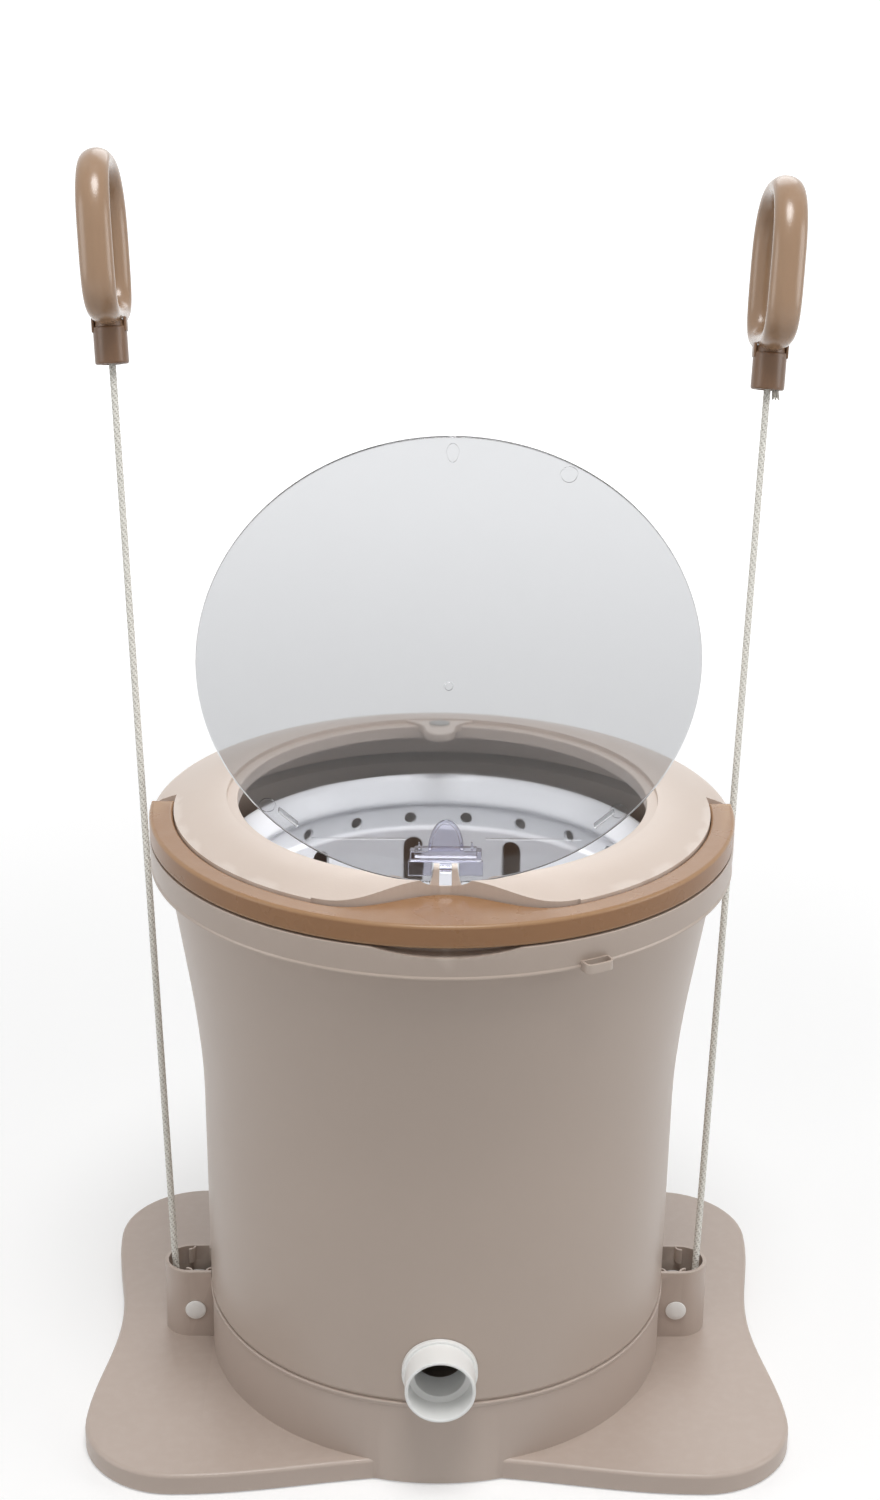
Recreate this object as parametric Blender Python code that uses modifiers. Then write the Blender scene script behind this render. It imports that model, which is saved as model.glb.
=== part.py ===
# Manual washing machine, pulled by two ropes.
# Origin on the floor at the tub's axis, -Y to the front, +X to the right, +Z up. Metres.

import math

import bmesh
import bpy
from mathutils import Matrix, Vector

# General fits
GAP = 0.0003                # between faces that touch
RUN_GAP = 0.0005            # round parts that turn
OVERRUN = 0.004             # how far a cut runs past the faces it opens
MERGE = 0.0001
BIG_STEPS = 40              # facets round the tub and the ring
MID_STEPS = 32              # round the basket
SMALL_STEPS = 14            # round spools, nozzle and bushes
PIN_STEPS = 8
NOZZLE_STEPS = 22
NUT_SIDES = 6
HIDDEN_STEPS = 24           # round the discs of the mechanism

# Foot plate
PLATE_THICK = 0.0122
PLATE_WALL = 0.003
PLATE_LIFT = 0.0005         # rim above the floor, which the pads touch
PLATE_CENTRE_Y = 0.008
PLATE_EDGE_ROUND = 0.002
LOBE_X = 0.1365
LOBE_Y = 0.0915             # lobe centre from the plate's own centre
LOBE_RADIUS = 0.049
WAIST_HALF = 0.176
END_HALF = 0.125            # plate's centre to the middle of its front edge
RIB_THICK = 0.002
RIB_HEIGHT = 0.0058
PAD_RADIUS = 0.014
PAD_THICK = 0.003
PAD_SEAT_RADIUS = 0.016
PAD_OUT = 0.003             # pad centre outward of the lobe centre

# Skirt under the tub
SKIRT_RADIUS = 0.1235
SKIRT_WALL = 0.003
SKIRT_TOP = 0.0496
SHELF_BOTTOM = 0.036
SHELF_THICK = 0.003
SHELF_INNER = 0.104
COVER_THICK = 0.004
COVER_POST_RADIUS = 0.012
COVER_POST_TOP = 0.0118
COVER_BOSS_RADIUS = 0.004
COVER_BOSS_AT = 0.112
SCREW_COUNT = 4
SCREW_HEAD_RADIUS = 0.0032
SCREW_HEAD_HEIGHT = 0.002
SCREW_SHANK_RADIUS = 0.0012
COVER_SCREW_LENGTH = 0.014
TUB_SCREW_LENGTH = 0.0095
SCREW_SINK = 0.0004         # head below the cover's face

# Rope towers
TOWER_CENTRE_Y = 0.006
TOWER_HALF_WIDTH = 0.0145
TOWER_ARC_X = 0.136
TOWER_INNER_X = 0.112       # its blank starts inside the skirt, which trims it
TOWER_TOP = 0.0533
TOWER_WALL = 0.002
TOWER_FLOOR = 0.0142
CLAW_WIDTH = 0.0024
CLAW_DEPTH = 0.0026
CLAW_HEIGHT = 0.005
CLAW_FROM_ARC = 0.009
ROLLER_X = 0.133
ROLLER_Z = 0.0295
ROLLER_GROOVE = 0.0084
ROLLER_FLANGE = 0.0108
ROLLER_HALF = 0.0092        # half its width, which the tower's round end limits
ROLLER_BORE = 0.0028
ROLLER_FLANGE_THICK = 0.0016
PIN_RADIUS = 0.0024
CAP_RADIUS = 0.0057
CAP_HEIGHT = 0.0016
WINDOW_BOTTOM = 0.0155
WINDOW_TOP = 0.0425
WINDOW_INNER_X = 0.1175

# Tub
TUB_WALL = 0.0025
TUB_FLOOR_TOP = 0.046
TUB_FLOOR_THICK = 0.0025
TUB_BOTTOM_RADIUS = 0.124
TUB_KNEE_RADIUS = 0.1252
TUB_KNEE_Z = 0.170
TUB_FLARE_RADIUS = 0.1321
TUB_FLARE_Z = 0.240
TUB_NECK_RADIUS = 0.1415
TUB_NECK_Z = 0.299
BAND_RADIUS = 0.150
BAND_BOTTOM = 0.3002
BAND_TOP = 0.3156
BAND_WALL = 0.003
SHELF_UNDER = 0.0088        # depth of the solid shelf under the band's top
BAND_INNER = 0.139
SPIGOT_WALL = 0.0025
TUB_BOSS_RADIUS = 0.004
TUB_BOSS_AT = 0.1148
TUBE_RADIUS = 0.0125        # tube round the shaft, top
TUBE_FOOT = 0.016
TUBE_BORE = 0.009
TUBE_TOP = 0.088
SCOOP_HALF = 0.035
SCOOP_DEPTH = 0.004
HOOK_ANGLE = math.radians(-62.1)
HOOK_WIDTH = 0.015
HOOK_REACH = 0.006
HOOK_BAR = 0.0022
HOOK_BOTTOM = 0.2972
HOOK_TOP = 0.304

# Drain
NOZZLE_Z = 0.0697
NOZZLE_RADIUS = 0.0178
NOZZLE_BORE = 0.0152
NOZZLE_MOUTH = 0.1431
NOZZLE_STEP = 0.134
NOZZLE_LIP = 0.0007
FLANGE_RADIUS = 0.0193
FLANGE_FACE = 0.1272
THREAD_RADIUS = 0.0156
THREAD_BORE = 0.0128
THREAD_END = 0.111
GASKET_RADIUS = 0.0175
NUT_RADIUS = 0.020
NUT_FACE = 0.1165
NUT_THICK = 0.0048

# Mechanism
SHAFT_RADIUS = 0.005
SHAFT_TOP = 0.1085
SHAFT_COLLAR = 0.008
SHAFT_COLLAR_BOTTOM = 0.092
SHAFT_COLLAR_TOP = 0.0967
BUSH_RADIUS = 0.0087
BUSH_LENGTH = 0.006
SEAL_THICK = 0.003
SPOOL_BASE = 0.0055
SPOOL_HEIGHT = 0.0152
SPOOL_FLANGE = 0.042
SPOOL_FLANGE_THICK = 0.0015
SPOOL_CORE = 0.030
SPOOL_CAVITY = 0.028
SPOOL_CAVITY_DEPTH = 0.008
CLUTCH_RADIUS = 0.016
SPRING_HEIGHT = 0.0068
SPRING_THICK = 0.0006
SPRING_TURNS = 3
SPRING_POINTS_PER_TURN = 12
CARRIER_RADIUS = 0.110
CARRIER_THICK = 0.0025
CARRIER_POST_BOTTOM = 0.029

# Top ring
RING_OUTER = 0.1495
RING_EDGE_Z = 0.3235
RING_BROW_RADIUS = 0.146
RING_BROW_Z = 0.326
RING_CUTBACK = 0.1375
RING_CUTBACK_Z = 0.329
RING_CREST_RADIUS = 0.1105
RING_CREST_Z = 0.3353
LEDGE_Z = 0.3332
OPENING_RADIUS = 0.1048
OPENING_EDGE = 0.0009
RING_SPIGOT_OUTER = 0.1386
RING_SPIGOT_INNER = 0.1362
RING_SPIGOT_BOTTOM = 0.306
RING_LIP_BOTTOM = 0.320
RING_SHELL = 0.0024
BOSS_HALF_WIDTH = 0.0155
BOSS_WIDE_Y = 0.107
BOSS_TIP_Y = 0.083
BOSS_TOP = 0.3349
CATCH_HALF_WIDTH = 0.0055
CATCH_HALF_LENGTH = 0.0036
CATCH_Y = 0.1045
CATCH_DEPTH = 0.004
CATCH_PROUD = 0.0005

# Bail
BAIL_INNER = 0.1378
BAIL_OUTER = 0.150
BAIL_BOTTOM = 0.3162
BAIL_TOP = 0.328
BAIL_PIVOT_Y = 0.0025
BAIL_PIVOT_Z = 0.322
BAIL_END_RADIUS = 0.0057
BAIL_ROUND = 0.0024          # also clears the lid, which shuts as the bail rises
BAIL_PIN_RADIUS = 0.0022
BAIL_PIN_INNER_X = 0.1312
BAIL_PIN_OUTER_X = 0.1462
PIN_BOSS_RADIUS = 0.0048
GRIP_INNER_Y = 0.1128       # wave grip's inner edge at the middle
GRIP_HALF = 0.062           # half-width of the wave
POCKET_GAP = 0.0007
WAVE_STEPS = 12
BAIL_ROUND_STEPS = 2

# Lid, in its closed place
LID_RADIUS = 0.1142
LID_THICK = 0.002
LID_SKIRT_OUTER = 0.1099
LID_SKIRT_INNER = 0.1079
LID_SKIRT_DEPTH = 0.0036
LID_EDGE_ROUND = 0.0005
LID_OPEN_ANGLE = math.radians(99.7)
HINGE_Y = -0.1063
EAR_RADIUS = 0.0024
EAR_INNER_X = 0.003
EAR_THICK = 0.0026
HINGE_PIN_RADIUS = 0.0009
STEM_HALF = 0.0025
SLOT_HALF = 0.0062
SLOT_DEPTH = 0.0116
BLOCK_HALF = 0.017
BLOCK_LENGTH = 0.009
BLOCK_DEPTH = 0.008
LUG_HALF = 0.009
LUG_LENGTH = 0.019
LUG_THICK = 0.002
TROUGH_RADIUS = 0.0087
TROUGH_HALF = 0.036
RECESS_HALF = 0.019

# Basket
BASKET_TOP = 0.2847
BASKET_TOP_RADIUS = 0.112
BASKET_FOOT_RADIUS = 0.1065
BASKET_FOOT_Z = 0.072
BASKET_BOTTOM = 0.058
BASKET_FLAT_RADIUS = 0.098
BASKET_WALL = 0.0022
CONE_FOOT = 0.026
CONE_TOP = 0.0165
CONE_TOP_Z = 0.100
HOLE_RADIUS = 0.003
HOLE_Z = 0.2765
HOLE_COUNT = 22
SLOT_COUNT = 12
SLOT_ROWS = 3
SLOT_WIDTH = 0.010
SLOT_HEIGHT = 0.034
SLOT_TOP_Z = 0.266
SLOT_PITCH = 0.056
RIM_LIP_RADIUS = 0.1145
RIM_OUTER = 0.118
RIM_TOP = 0.301
RIM_SKIRT_BOTTOM = 0.2812
BASKET_NUT_RADIUS = 0.009
BASKET_NUT_HEIGHT = 0.006

# Ropes and grips
ROPE_RADIUS = 0.0019
LEFT_HUB = Vector((-0.1766, 0.130, 0.528))
RIGHT_HUB = Vector((0.1747, 0.130, 0.517))
ROPE_IN_TOWER_Y = 0.002
HUB_RADIUS = 0.0091
HUB_HEIGHT = 0.020
HUB_ROUND = 0.0012
HUB_FLOOR = 0.0025
HUB_MOUTH = 0.0060
HUB_CAVITY = 0.0068
HUB_CAVITY_TOP = 0.0165
STUD_RADIUS = 0.0045
STUD_HEIGHT = 0.009
KNOT_RADIUS = 0.0062
LOOP_HALF = 0.036           # half-width between the legs' middles
LOOP_HEIGHT = 0.082         # from the lower bar's middle to the upper bar's
LOOP_BAR = 0.006
LOOP_FLATTEN = 1.5          # width of the bar over its thickness
TAIL_LENGTH = 0.0075          # stays above the tower's rim at the lowest pull
TAIL_RADIUS = 0.0017
TAIL_OFFSET = 0.0040
RESERVE_TURNS_WIDTH = 0.0080

PARTS = None
CUTTERS = None
JOBS = []


def clear_scene():
    for obj in list(bpy.data.objects):
        bpy.data.objects.remove(obj, do_unlink=True)


def new_collection(name):
    col = bpy.data.collections.new(name)
    bpy.context.scene.collection.children.link(col)
    return col


def material(name, color, roughness, metallic=0.0, alpha=1.0):
    mat = bpy.data.materials.new(name)
    mat.use_nodes = True
    shader = mat.node_tree.nodes["Principled BSDF"]
    shader.inputs["Base Color"].default_value = (*color, 1.0)
    shader.inputs["Roughness"].default_value = roughness
    shader.inputs["Metallic"].default_value = metallic
    shader.inputs["Alpha"].default_value = alpha
    mat.diffuse_color = (*color, alpha)
    return mat


def as_part(obj, mat, angle=math.radians(35)):
    obj.data.materials.clear()
    obj.data.materials.append(mat)
    obj.data.shade_smooth()
    obj.data.set_sharp_from_angle(angle=angle)
    return obj


def as_cutter(obj):
    for col in list(obj.users_collection):
        col.objects.unlink(obj)
    CUTTERS.objects.link(obj)
    obj.hide_render = True
    obj.display_type = "WIRE"
    return obj


def apply_transform(obj):
    obj.data.transform(obj.matrix_basis)
    obj.matrix_basis = Matrix.Identity(4)
    return obj


def boolean(obj, tool, operation):
    """Note a cut or a join, which is made once every shape exists."""
    JOBS.append((obj, as_cutter(tool), operation))
    return obj


def make_booleans():
    for obj, tool, operation in JOBS:
        mod = obj.modifiers.new(operation.title(), "BOOLEAN")
        mod.operation = operation
        mod.object = tool
        mod.solver = "EXACT"


def cut(obj, tool):
    return boolean(obj, tool, "DIFFERENCE")


def join(obj, tool):
    return boolean(obj, tool, "UNION")


def turned(name, profile, steps, closed=True):
    """A profile in (radius, height), down its outer side first, swept round Z."""
    mesh = bpy.data.meshes.new(name)
    count = len(profile)
    edges = [(i, i + 1) for i in range(count - 1)]
    if closed:
        edges.append((count - 1, 0))
    mesh.from_pydata([(r, 0.0, z) for r, z in profile], edges, [])
    obj = bpy.data.objects.new(name, mesh)
    PARTS.objects.link(obj)
    mod = obj.modifiers.new("Turn", "SCREW")
    mod.axis = "Z"
    mod.angle = math.tau
    mod.steps = steps
    mod.render_steps = steps
    mod.use_merge_vertices = True
    mod.merge_threshold = MERGE
    mod.use_smooth_shade = True
    return obj


def ring(name, outer, inner, bottom, top, steps):
    return turned(name, [(outer, top), (outer, bottom), (inner, bottom), (inner, top)], steps)


def from_bmesh(name, work):
    mesh = bpy.data.meshes.new(name)
    work.to_mesh(mesh)
    work.free()
    obj = bpy.data.objects.new(name, mesh)
    PARTS.objects.link(obj)
    return obj


def rod(name, radius, start, end, steps):
    """A cylinder from one point to another."""
    start = Vector(start)
    end = Vector(end)
    work = bmesh.new()
    bmesh.ops.create_cone(work, cap_ends=True, segments=steps, radius1=radius, radius2=radius,
                          depth=(end - start).length)
    turn = (end - start).to_track_quat("Z", "Y").to_matrix().to_4x4()
    bmesh.ops.transform(work, matrix=Matrix.Translation((start + end) / 2) @ turn, verts=work.verts)
    return from_bmesh(name, work)


def block(name, low, high):
    """A box between two corners."""
    low = Vector(low)
    high = Vector(high)
    work = bmesh.new()
    place = Matrix.Translation((low + high) / 2) @ Matrix.Diagonal((*(high - low), 1))
    bmesh.ops.create_cube(work, size=1.0, matrix=place)
    return from_bmesh(name, work)


def mesh_from(obj, name):
    """A closed mesh object with the evaluated shape of a curve, which is then removed."""
    bpy.context.view_layer.update()
    graph = bpy.context.evaluated_depsgraph_get()
    mesh = bpy.data.meshes.new_from_object(obj.evaluated_get(graph))
    work = bmesh.new()
    work.from_mesh(mesh)
    bmesh.ops.remove_doubles(work, verts=work.verts, dist=MERGE / 10)
    work.to_mesh(mesh)
    work.free()
    made = bpy.data.objects.new(name, mesh)
    made.matrix_world = obj.matrix_world
    PARTS.objects.link(made)
    bpy.data.objects.remove(obj, do_unlink=True)
    made.name = name
    return apply_transform(made)


def slab(name, outline, bottom, top):
    """A flat outline in X and Y with a thickness along Z."""
    curve = bpy.data.curves.new(name + ".outline", "CURVE")
    curve.dimensions = "2D"
    curve.fill_mode = "BOTH"
    curve.extrude = (top - bottom) / 2
    spline = curve.splines.new("POLY")
    spline.points.add(len(outline) - 1)
    for point, place in zip(spline.points, outline):
        point.co = (place[0], place[1], 0.0, 1.0)
    spline.use_cyclic_u = True
    obj = bpy.data.objects.new(name, curve)
    obj.location.z = (top + bottom) / 2
    PARTS.objects.link(obj)
    return mesh_from(obj, name)


def tube(name, points, radius, cyclic=False, resolution=2):
    curve = bpy.data.curves.new(name, "CURVE")
    curve.dimensions = "3D"
    curve.bevel_depth = radius
    curve.bevel_resolution = resolution
    curve.use_fill_caps = not cyclic
    spline = curve.splines.new("POLY")
    spline.points.add(len(points) - 1)
    for point, place in zip(spline.points, points):
        point.co = (*place, 1.0)
    spline.use_cyclic_u = cyclic
    obj = bpy.data.objects.new(name, curve)
    PARTS.objects.link(obj)
    return obj


def bevel(obj, width, segments, angle=math.radians(40)):
    mod = obj.modifiers.new("Round", "BEVEL")
    mod.width = width
    mod.segments = segments
    mod.limit_method = "ANGLE"
    mod.angle_limit = angle
    return obj


def around(count, radius, first=0.0):
    """Points on a circle about the axis, with their angles."""
    for i in range(count):
        turn = first + math.tau * i / count
        yield turn, radius * math.cos(turn), radius * math.sin(turn)


def clear(radius, steps):
    """Radius of a faceted hole whose flats clear a round piece of this radius."""
    return (radius + GAP) / math.cos(math.pi / steps)


def plate_outline(inset):
    """Butterfly outline: round lobes joined by smooth waists."""
    quarter = []
    arc_steps = 5
    edge_steps = 4
    radius = LOBE_RADIUS - inset
    side = LOBE_X + radius
    end = LOBE_Y + radius
    waist = WAIST_HALF - inset
    middle = END_HALF - inset
    for i in range(edge_steps):
        ease = 0.5 - 0.5 * math.cos(math.pi * i / edge_steps)
        quarter.append((waist + (side - waist) * ease, LOBE_Y * i / edge_steps))
    for i in range(arc_steps):
        turn = math.pi / 2 * i / arc_steps
        quarter.append((LOBE_X + radius * math.cos(turn), LOBE_Y + radius * math.sin(turn)))
    for i in range(edge_steps):
        ease = 0.5 - 0.5 * math.cos(math.pi * i / edge_steps)
        quarter.append((LOBE_X * (1 - i / edge_steps), end - (end - middle) * ease))
    quarter.append((0.0, middle))
    right = quarter + [(x, -y) for x, y in reversed(quarter[1:])]
    back = right[:len(quarter)]
    outline = back + [(-x, y) for x, y in reversed(back[:-1])]
    outline += [(-x, -y) for x, y in back[1:]]
    outline += [(x, -y) for x, y in reversed(back[1:-1])]
    return [(x, y + PLATE_CENTRE_Y) for x, y in outline]


def tower_outline(side, inset, inner_x):
    """Stadium with its round end outward."""
    half = TOWER_HALF_WIDTH - inset
    outline = [(side * inner_x, TOWER_CENTRE_Y - half)]
    steps = 10
    for i in range(steps + 1):
        turn = -math.pi / 2 + math.pi * i / steps
        outline.append((side * (TOWER_ARC_X + half * math.cos(turn)), TOWER_CENTRE_Y + half * math.sin(turn)))
    outline.append((side * inner_x, TOWER_CENTRE_Y + half))
    return outline if side > 0 else outline[::-1]


def add_tower(base, side, name):
    blank = slab(name + ".tower", tower_outline(side, 0.0, TOWER_INNER_X),
                 PLATE_THICK - PLATE_WALL / 2, TOWER_TOP)
    cut(blank, rod(name + ".trim", SKIRT_RADIUS - SKIRT_WALL / 2, (0, 0, 0), (0, 0, TOWER_TOP + OVERRUN),
                   BIG_STEPS))
    join(base, blank)


def hollow_tower(base, side, name):
    mouth_x = SKIRT_RADIUS + GAP
    cut(base, slab(name + ".well", tower_outline(side, TOWER_WALL, mouth_x),
                   TOWER_FLOOR, TOWER_TOP + OVERRUN))
    window_half = TOWER_HALF_WIDTH - TOWER_WALL - GAP
    window_ends = sorted((side * WINDOW_INNER_X, side * (mouth_x + OVERRUN)))
    cut(base, block(name + ".window",
                    (window_ends[0], TOWER_CENTRE_Y - window_half, WINDOW_BOTTOM),
                    (window_ends[1], TOWER_CENTRE_Y + window_half, WINDOW_TOP)))
    pin_front = TOWER_CENTRE_Y - TOWER_HALF_WIDTH - OVERRUN
    pin_back = TOWER_CENTRE_Y + TOWER_HALF_WIDTH + OVERRUN
    cut(base, rod(name + ".pin_hole", clear(PIN_RADIUS, PIN_STEPS), (side * ROLLER_X, pin_front, ROLLER_Z),
                  (side * ROLLER_X, pin_back, ROLLER_Z), PIN_STEPS))
    for claw_side in (-1, 1):
        for claw_x in (TOWER_ARC_X - CLAW_FROM_ARC, TOWER_ARC_X):
            wall = TOWER_CENTRE_Y + claw_side * (TOWER_HALF_WIDTH - TOWER_WALL / 2)
            tip = TOWER_CENTRE_Y + claw_side * (TOWER_HALF_WIDTH - TOWER_WALL - CLAW_DEPTH)
            ends_x = sorted((side * claw_x, side * (claw_x + CLAW_WIDTH)))
            ends_y = sorted((wall, tip))
            join(base, block(name + ".claw", (ends_x[0], ends_y[0], TOWER_TOP - CLAW_HEIGHT),
                             (ends_x[1], ends_y[1], TOWER_TOP - GAP)))


def base_moulding(mat):
    base = slab("base_moulding", plate_outline(0.0), PLATE_LIFT, PLATE_THICK)
    bevel(base, PLATE_EDGE_ROUND, 2)
    ceiling = PLATE_THICK - PLATE_WALL
    cut(base, slab("base.hollow", plate_outline(PLATE_WALL), -OVERRUN, ceiling))
    inner = SKIRT_RADIUS - SKIRT_WALL
    shelf_top = SHELF_BOTTOM + SHELF_THICK
    skirt_bottom = PLATE_LIFT + GAP
    cut(base, rod("base.well", SKIRT_RADIUS - SKIRT_WALL / 2, (0, 0, -OVERRUN),
                  (0, 0, PLATE_THICK + OVERRUN), BIG_STEPS))
    join(base, turned("base.skirt", [
        (SKIRT_RADIUS, SKIRT_TOP), (SKIRT_RADIUS, skirt_bottom), (inner, skirt_bottom),
        (inner, SHELF_BOTTOM), (SHELF_INNER, SHELF_BOTTOM), (SHELF_INNER, shelf_top),
        (inner, shelf_top), (inner, SKIRT_TOP)], BIG_STEPS))
    for side_x in (-1, 1):
        for side_y in (-1, 1):
            spot = pad_place(side_x, side_y)
            join(base, rod("base.pad_seat", PAD_SEAT_RADIUS, (*spot, PAD_THICK + GAP),
                           (*spot, ceiling + PLATE_WALL / 2), SMALL_STEPS))
            reach = Vector((side_x * LOBE_X, side_y * LOBE_Y + PLATE_CENTRE_Y, 0.0)).normalized()
            start = reach * (SKIRT_RADIUS - SKIRT_WALL / 2)
            across = Vector((-reach.y, reach.x, 0.0)) * PAD_SEAT_RADIUS / 2
            for lane in (-1, 1):
                rib = block("base.rib", (0.0, -RIB_THICK / 2, ceiling - RIB_HEIGHT),
                            (LOBE_RADIUS + PLATE_WALL, RIB_THICK / 2, ceiling + PLATE_WALL / 2))
                rib.rotation_euler.z = math.atan2(reach.y, reach.x)
                rib.location = start + across * lane
                join(base, apply_transform(rib))
    for turn, x, y in around(SCREW_COUNT, COVER_BOSS_AT, math.pi / 4):
        join(base, rod("base.screw_boss", COVER_BOSS_RADIUS, (x, y, COVER_THICK + GAP),
                       (x, y, SHELF_BOTTOM + SHELF_THICK / 2), PIN_STEPS))
        cut(base, rod("base.screw_bore", SCREW_SHANK_RADIUS + GAP, (x, y, COVER_THICK - OVERRUN),
                      (x, y, COVER_SCREW_LENGTH + OVERRUN), PIN_STEPS))
    for turn, x, y in around(SCREW_COUNT, TUB_BOSS_AT, math.pi / SCREW_COUNT / 2):
        cut(base, rod("base.tub_screw_hole", SCREW_SHANK_RADIUS + GAP, (x, y, SHELF_BOTTOM - OVERRUN),
                      (x, y, SHELF_BOTTOM + SHELF_THICK + OVERRUN), PIN_STEPS))
    for side, name in ((-1, "left"), (1, "right")):
        add_tower(base, side, name)
    room = TUB_BOTTOM_RADIUS + GAP
    cut(base, turned("base.tub_room", [
        (0.0, TOWER_TOP + OVERRUN), (room, TOWER_TOP + OVERRUN), (room, SKIRT_TOP), (0.0, SKIRT_TOP)],
        BIG_STEPS, closed=False))
    for side, name in ((-1, "left"), (1, "right")):
        hollow_tower(base, side, name)
    return as_part(base, mat)


def pad_place(side_x, side_y):
    return (side_x * (LOBE_X + PAD_OUT), side_y * (LOBE_Y + PAD_OUT) + PLATE_CENTRE_Y)


def foot_pads(mat):
    names = {(-1, -1): "foot_pad_front_left", (1, -1): "foot_pad_front_right",
             (-1, 1): "foot_pad_rear_left", (1, 1): "foot_pad_rear_right"}
    for (side_x, side_y), name in names.items():
        spot = pad_place(side_x, side_y)
        pad = turned(name, [(0.0, PAD_THICK), (PAD_RADIUS, PAD_THICK), (PAD_RADIUS, GAP),
                            (PAD_RADIUS - GAP, 0.0), (0.0, 0.0)], SMALL_STEPS, closed=False)
        pad.location = (*spot, 0.0)
        as_part(pad, mat)


def bottom_cover(mat):
    radius = (SKIRT_RADIUS - SKIRT_WALL) * math.cos(math.pi / BIG_STEPS) - GAP
    bush_seat = BUSH_RADIUS + GAP
    cover = turned("bottom_cover", [
        (0.0, COVER_THICK), (bush_seat, COVER_THICK), (bush_seat, COVER_POST_TOP),
        (COVER_POST_RADIUS, COVER_POST_TOP), (COVER_POST_RADIUS, COVER_THICK),
        (radius, COVER_THICK), (radius, 0.0), (0.0, 0.0)], HIDDEN_STEPS, closed=False)
    for turn, x, y in around(SCREW_COUNT, COVER_BOSS_AT, math.pi / 4):
        cut(cover, rod("cover.hole", SCREW_SHANK_RADIUS + GAP, (x, y, -OVERRUN),
                       (x, y, COVER_THICK + OVERRUN), PIN_STEPS))
        cut(cover, rod("cover.sink", SCREW_HEAD_RADIUS + GAP, (x, y, -OVERRUN),
                       (x, y, SCREW_SINK + SCREW_HEAD_HEIGHT + GAP), PIN_STEPS))
    return as_part(cover, mat)


def screw(name, x, y, head_bottom, length, mat):
    shoulder = head_bottom + SCREW_HEAD_HEIGHT
    obj = turned(name, [
        (0.0, shoulder + length), (SCREW_SHANK_RADIUS, shoulder + length),
        (SCREW_SHANK_RADIUS, shoulder), (SCREW_HEAD_RADIUS, shoulder),
        (SCREW_HEAD_RADIUS, head_bottom), (0.0, head_bottom)], PIN_STEPS, closed=False)
    obj.location = (x, y, 0.0)
    return as_part(obj, mat)


def screws(mat):
    for number, (turn, x, y) in enumerate(around(SCREW_COUNT, COVER_BOSS_AT, math.pi / 4), 1):
        screw("cover_screw_%d" % number, x, y, SCREW_SINK, COVER_SCREW_LENGTH, mat)
    for number, (turn, x, y) in enumerate(
            around(SCREW_COUNT, TUB_BOSS_AT, math.pi / SCREW_COUNT / 2), 1):
        screw("tub_screw_%d" % number, x, y, SHELF_BOTTOM - GAP - SCREW_HEAD_HEIGHT,
              TUB_SCREW_LENGTH, mat)


def flare(z):
    """Outer radius of the tub's wall at a height."""
    if z <= TUB_KNEE_Z:
        share = max(0.0, z - SKIRT_TOP) / (TUB_KNEE_Z - SKIRT_TOP)
        return TUB_BOTTOM_RADIUS + (TUB_KNEE_RADIUS - TUB_BOTTOM_RADIUS) * share
    if z <= TUB_FLARE_Z:
        share = (z - TUB_KNEE_Z) / (TUB_FLARE_Z - TUB_KNEE_Z)
        return TUB_KNEE_RADIUS + (TUB_FLARE_RADIUS - TUB_KNEE_RADIUS) * share ** 1.6
    share = (z - TUB_FLARE_Z) / (TUB_NECK_Z - TUB_FLARE_Z)
    return TUB_FLARE_RADIUS + (TUB_NECK_RADIUS - TUB_FLARE_RADIUS) * share


def tub_heights():
    low = [TUB_KNEE_Z]
    mid = [TUB_KNEE_Z + (TUB_FLARE_Z - TUB_KNEE_Z) * i / 3 for i in range(1, 4)]
    high = [TUB_FLARE_Z + (TUB_NECK_Z - TUB_FLARE_Z) * i / 2 for i in range(1, 3)]
    return low + mid + high


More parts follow.
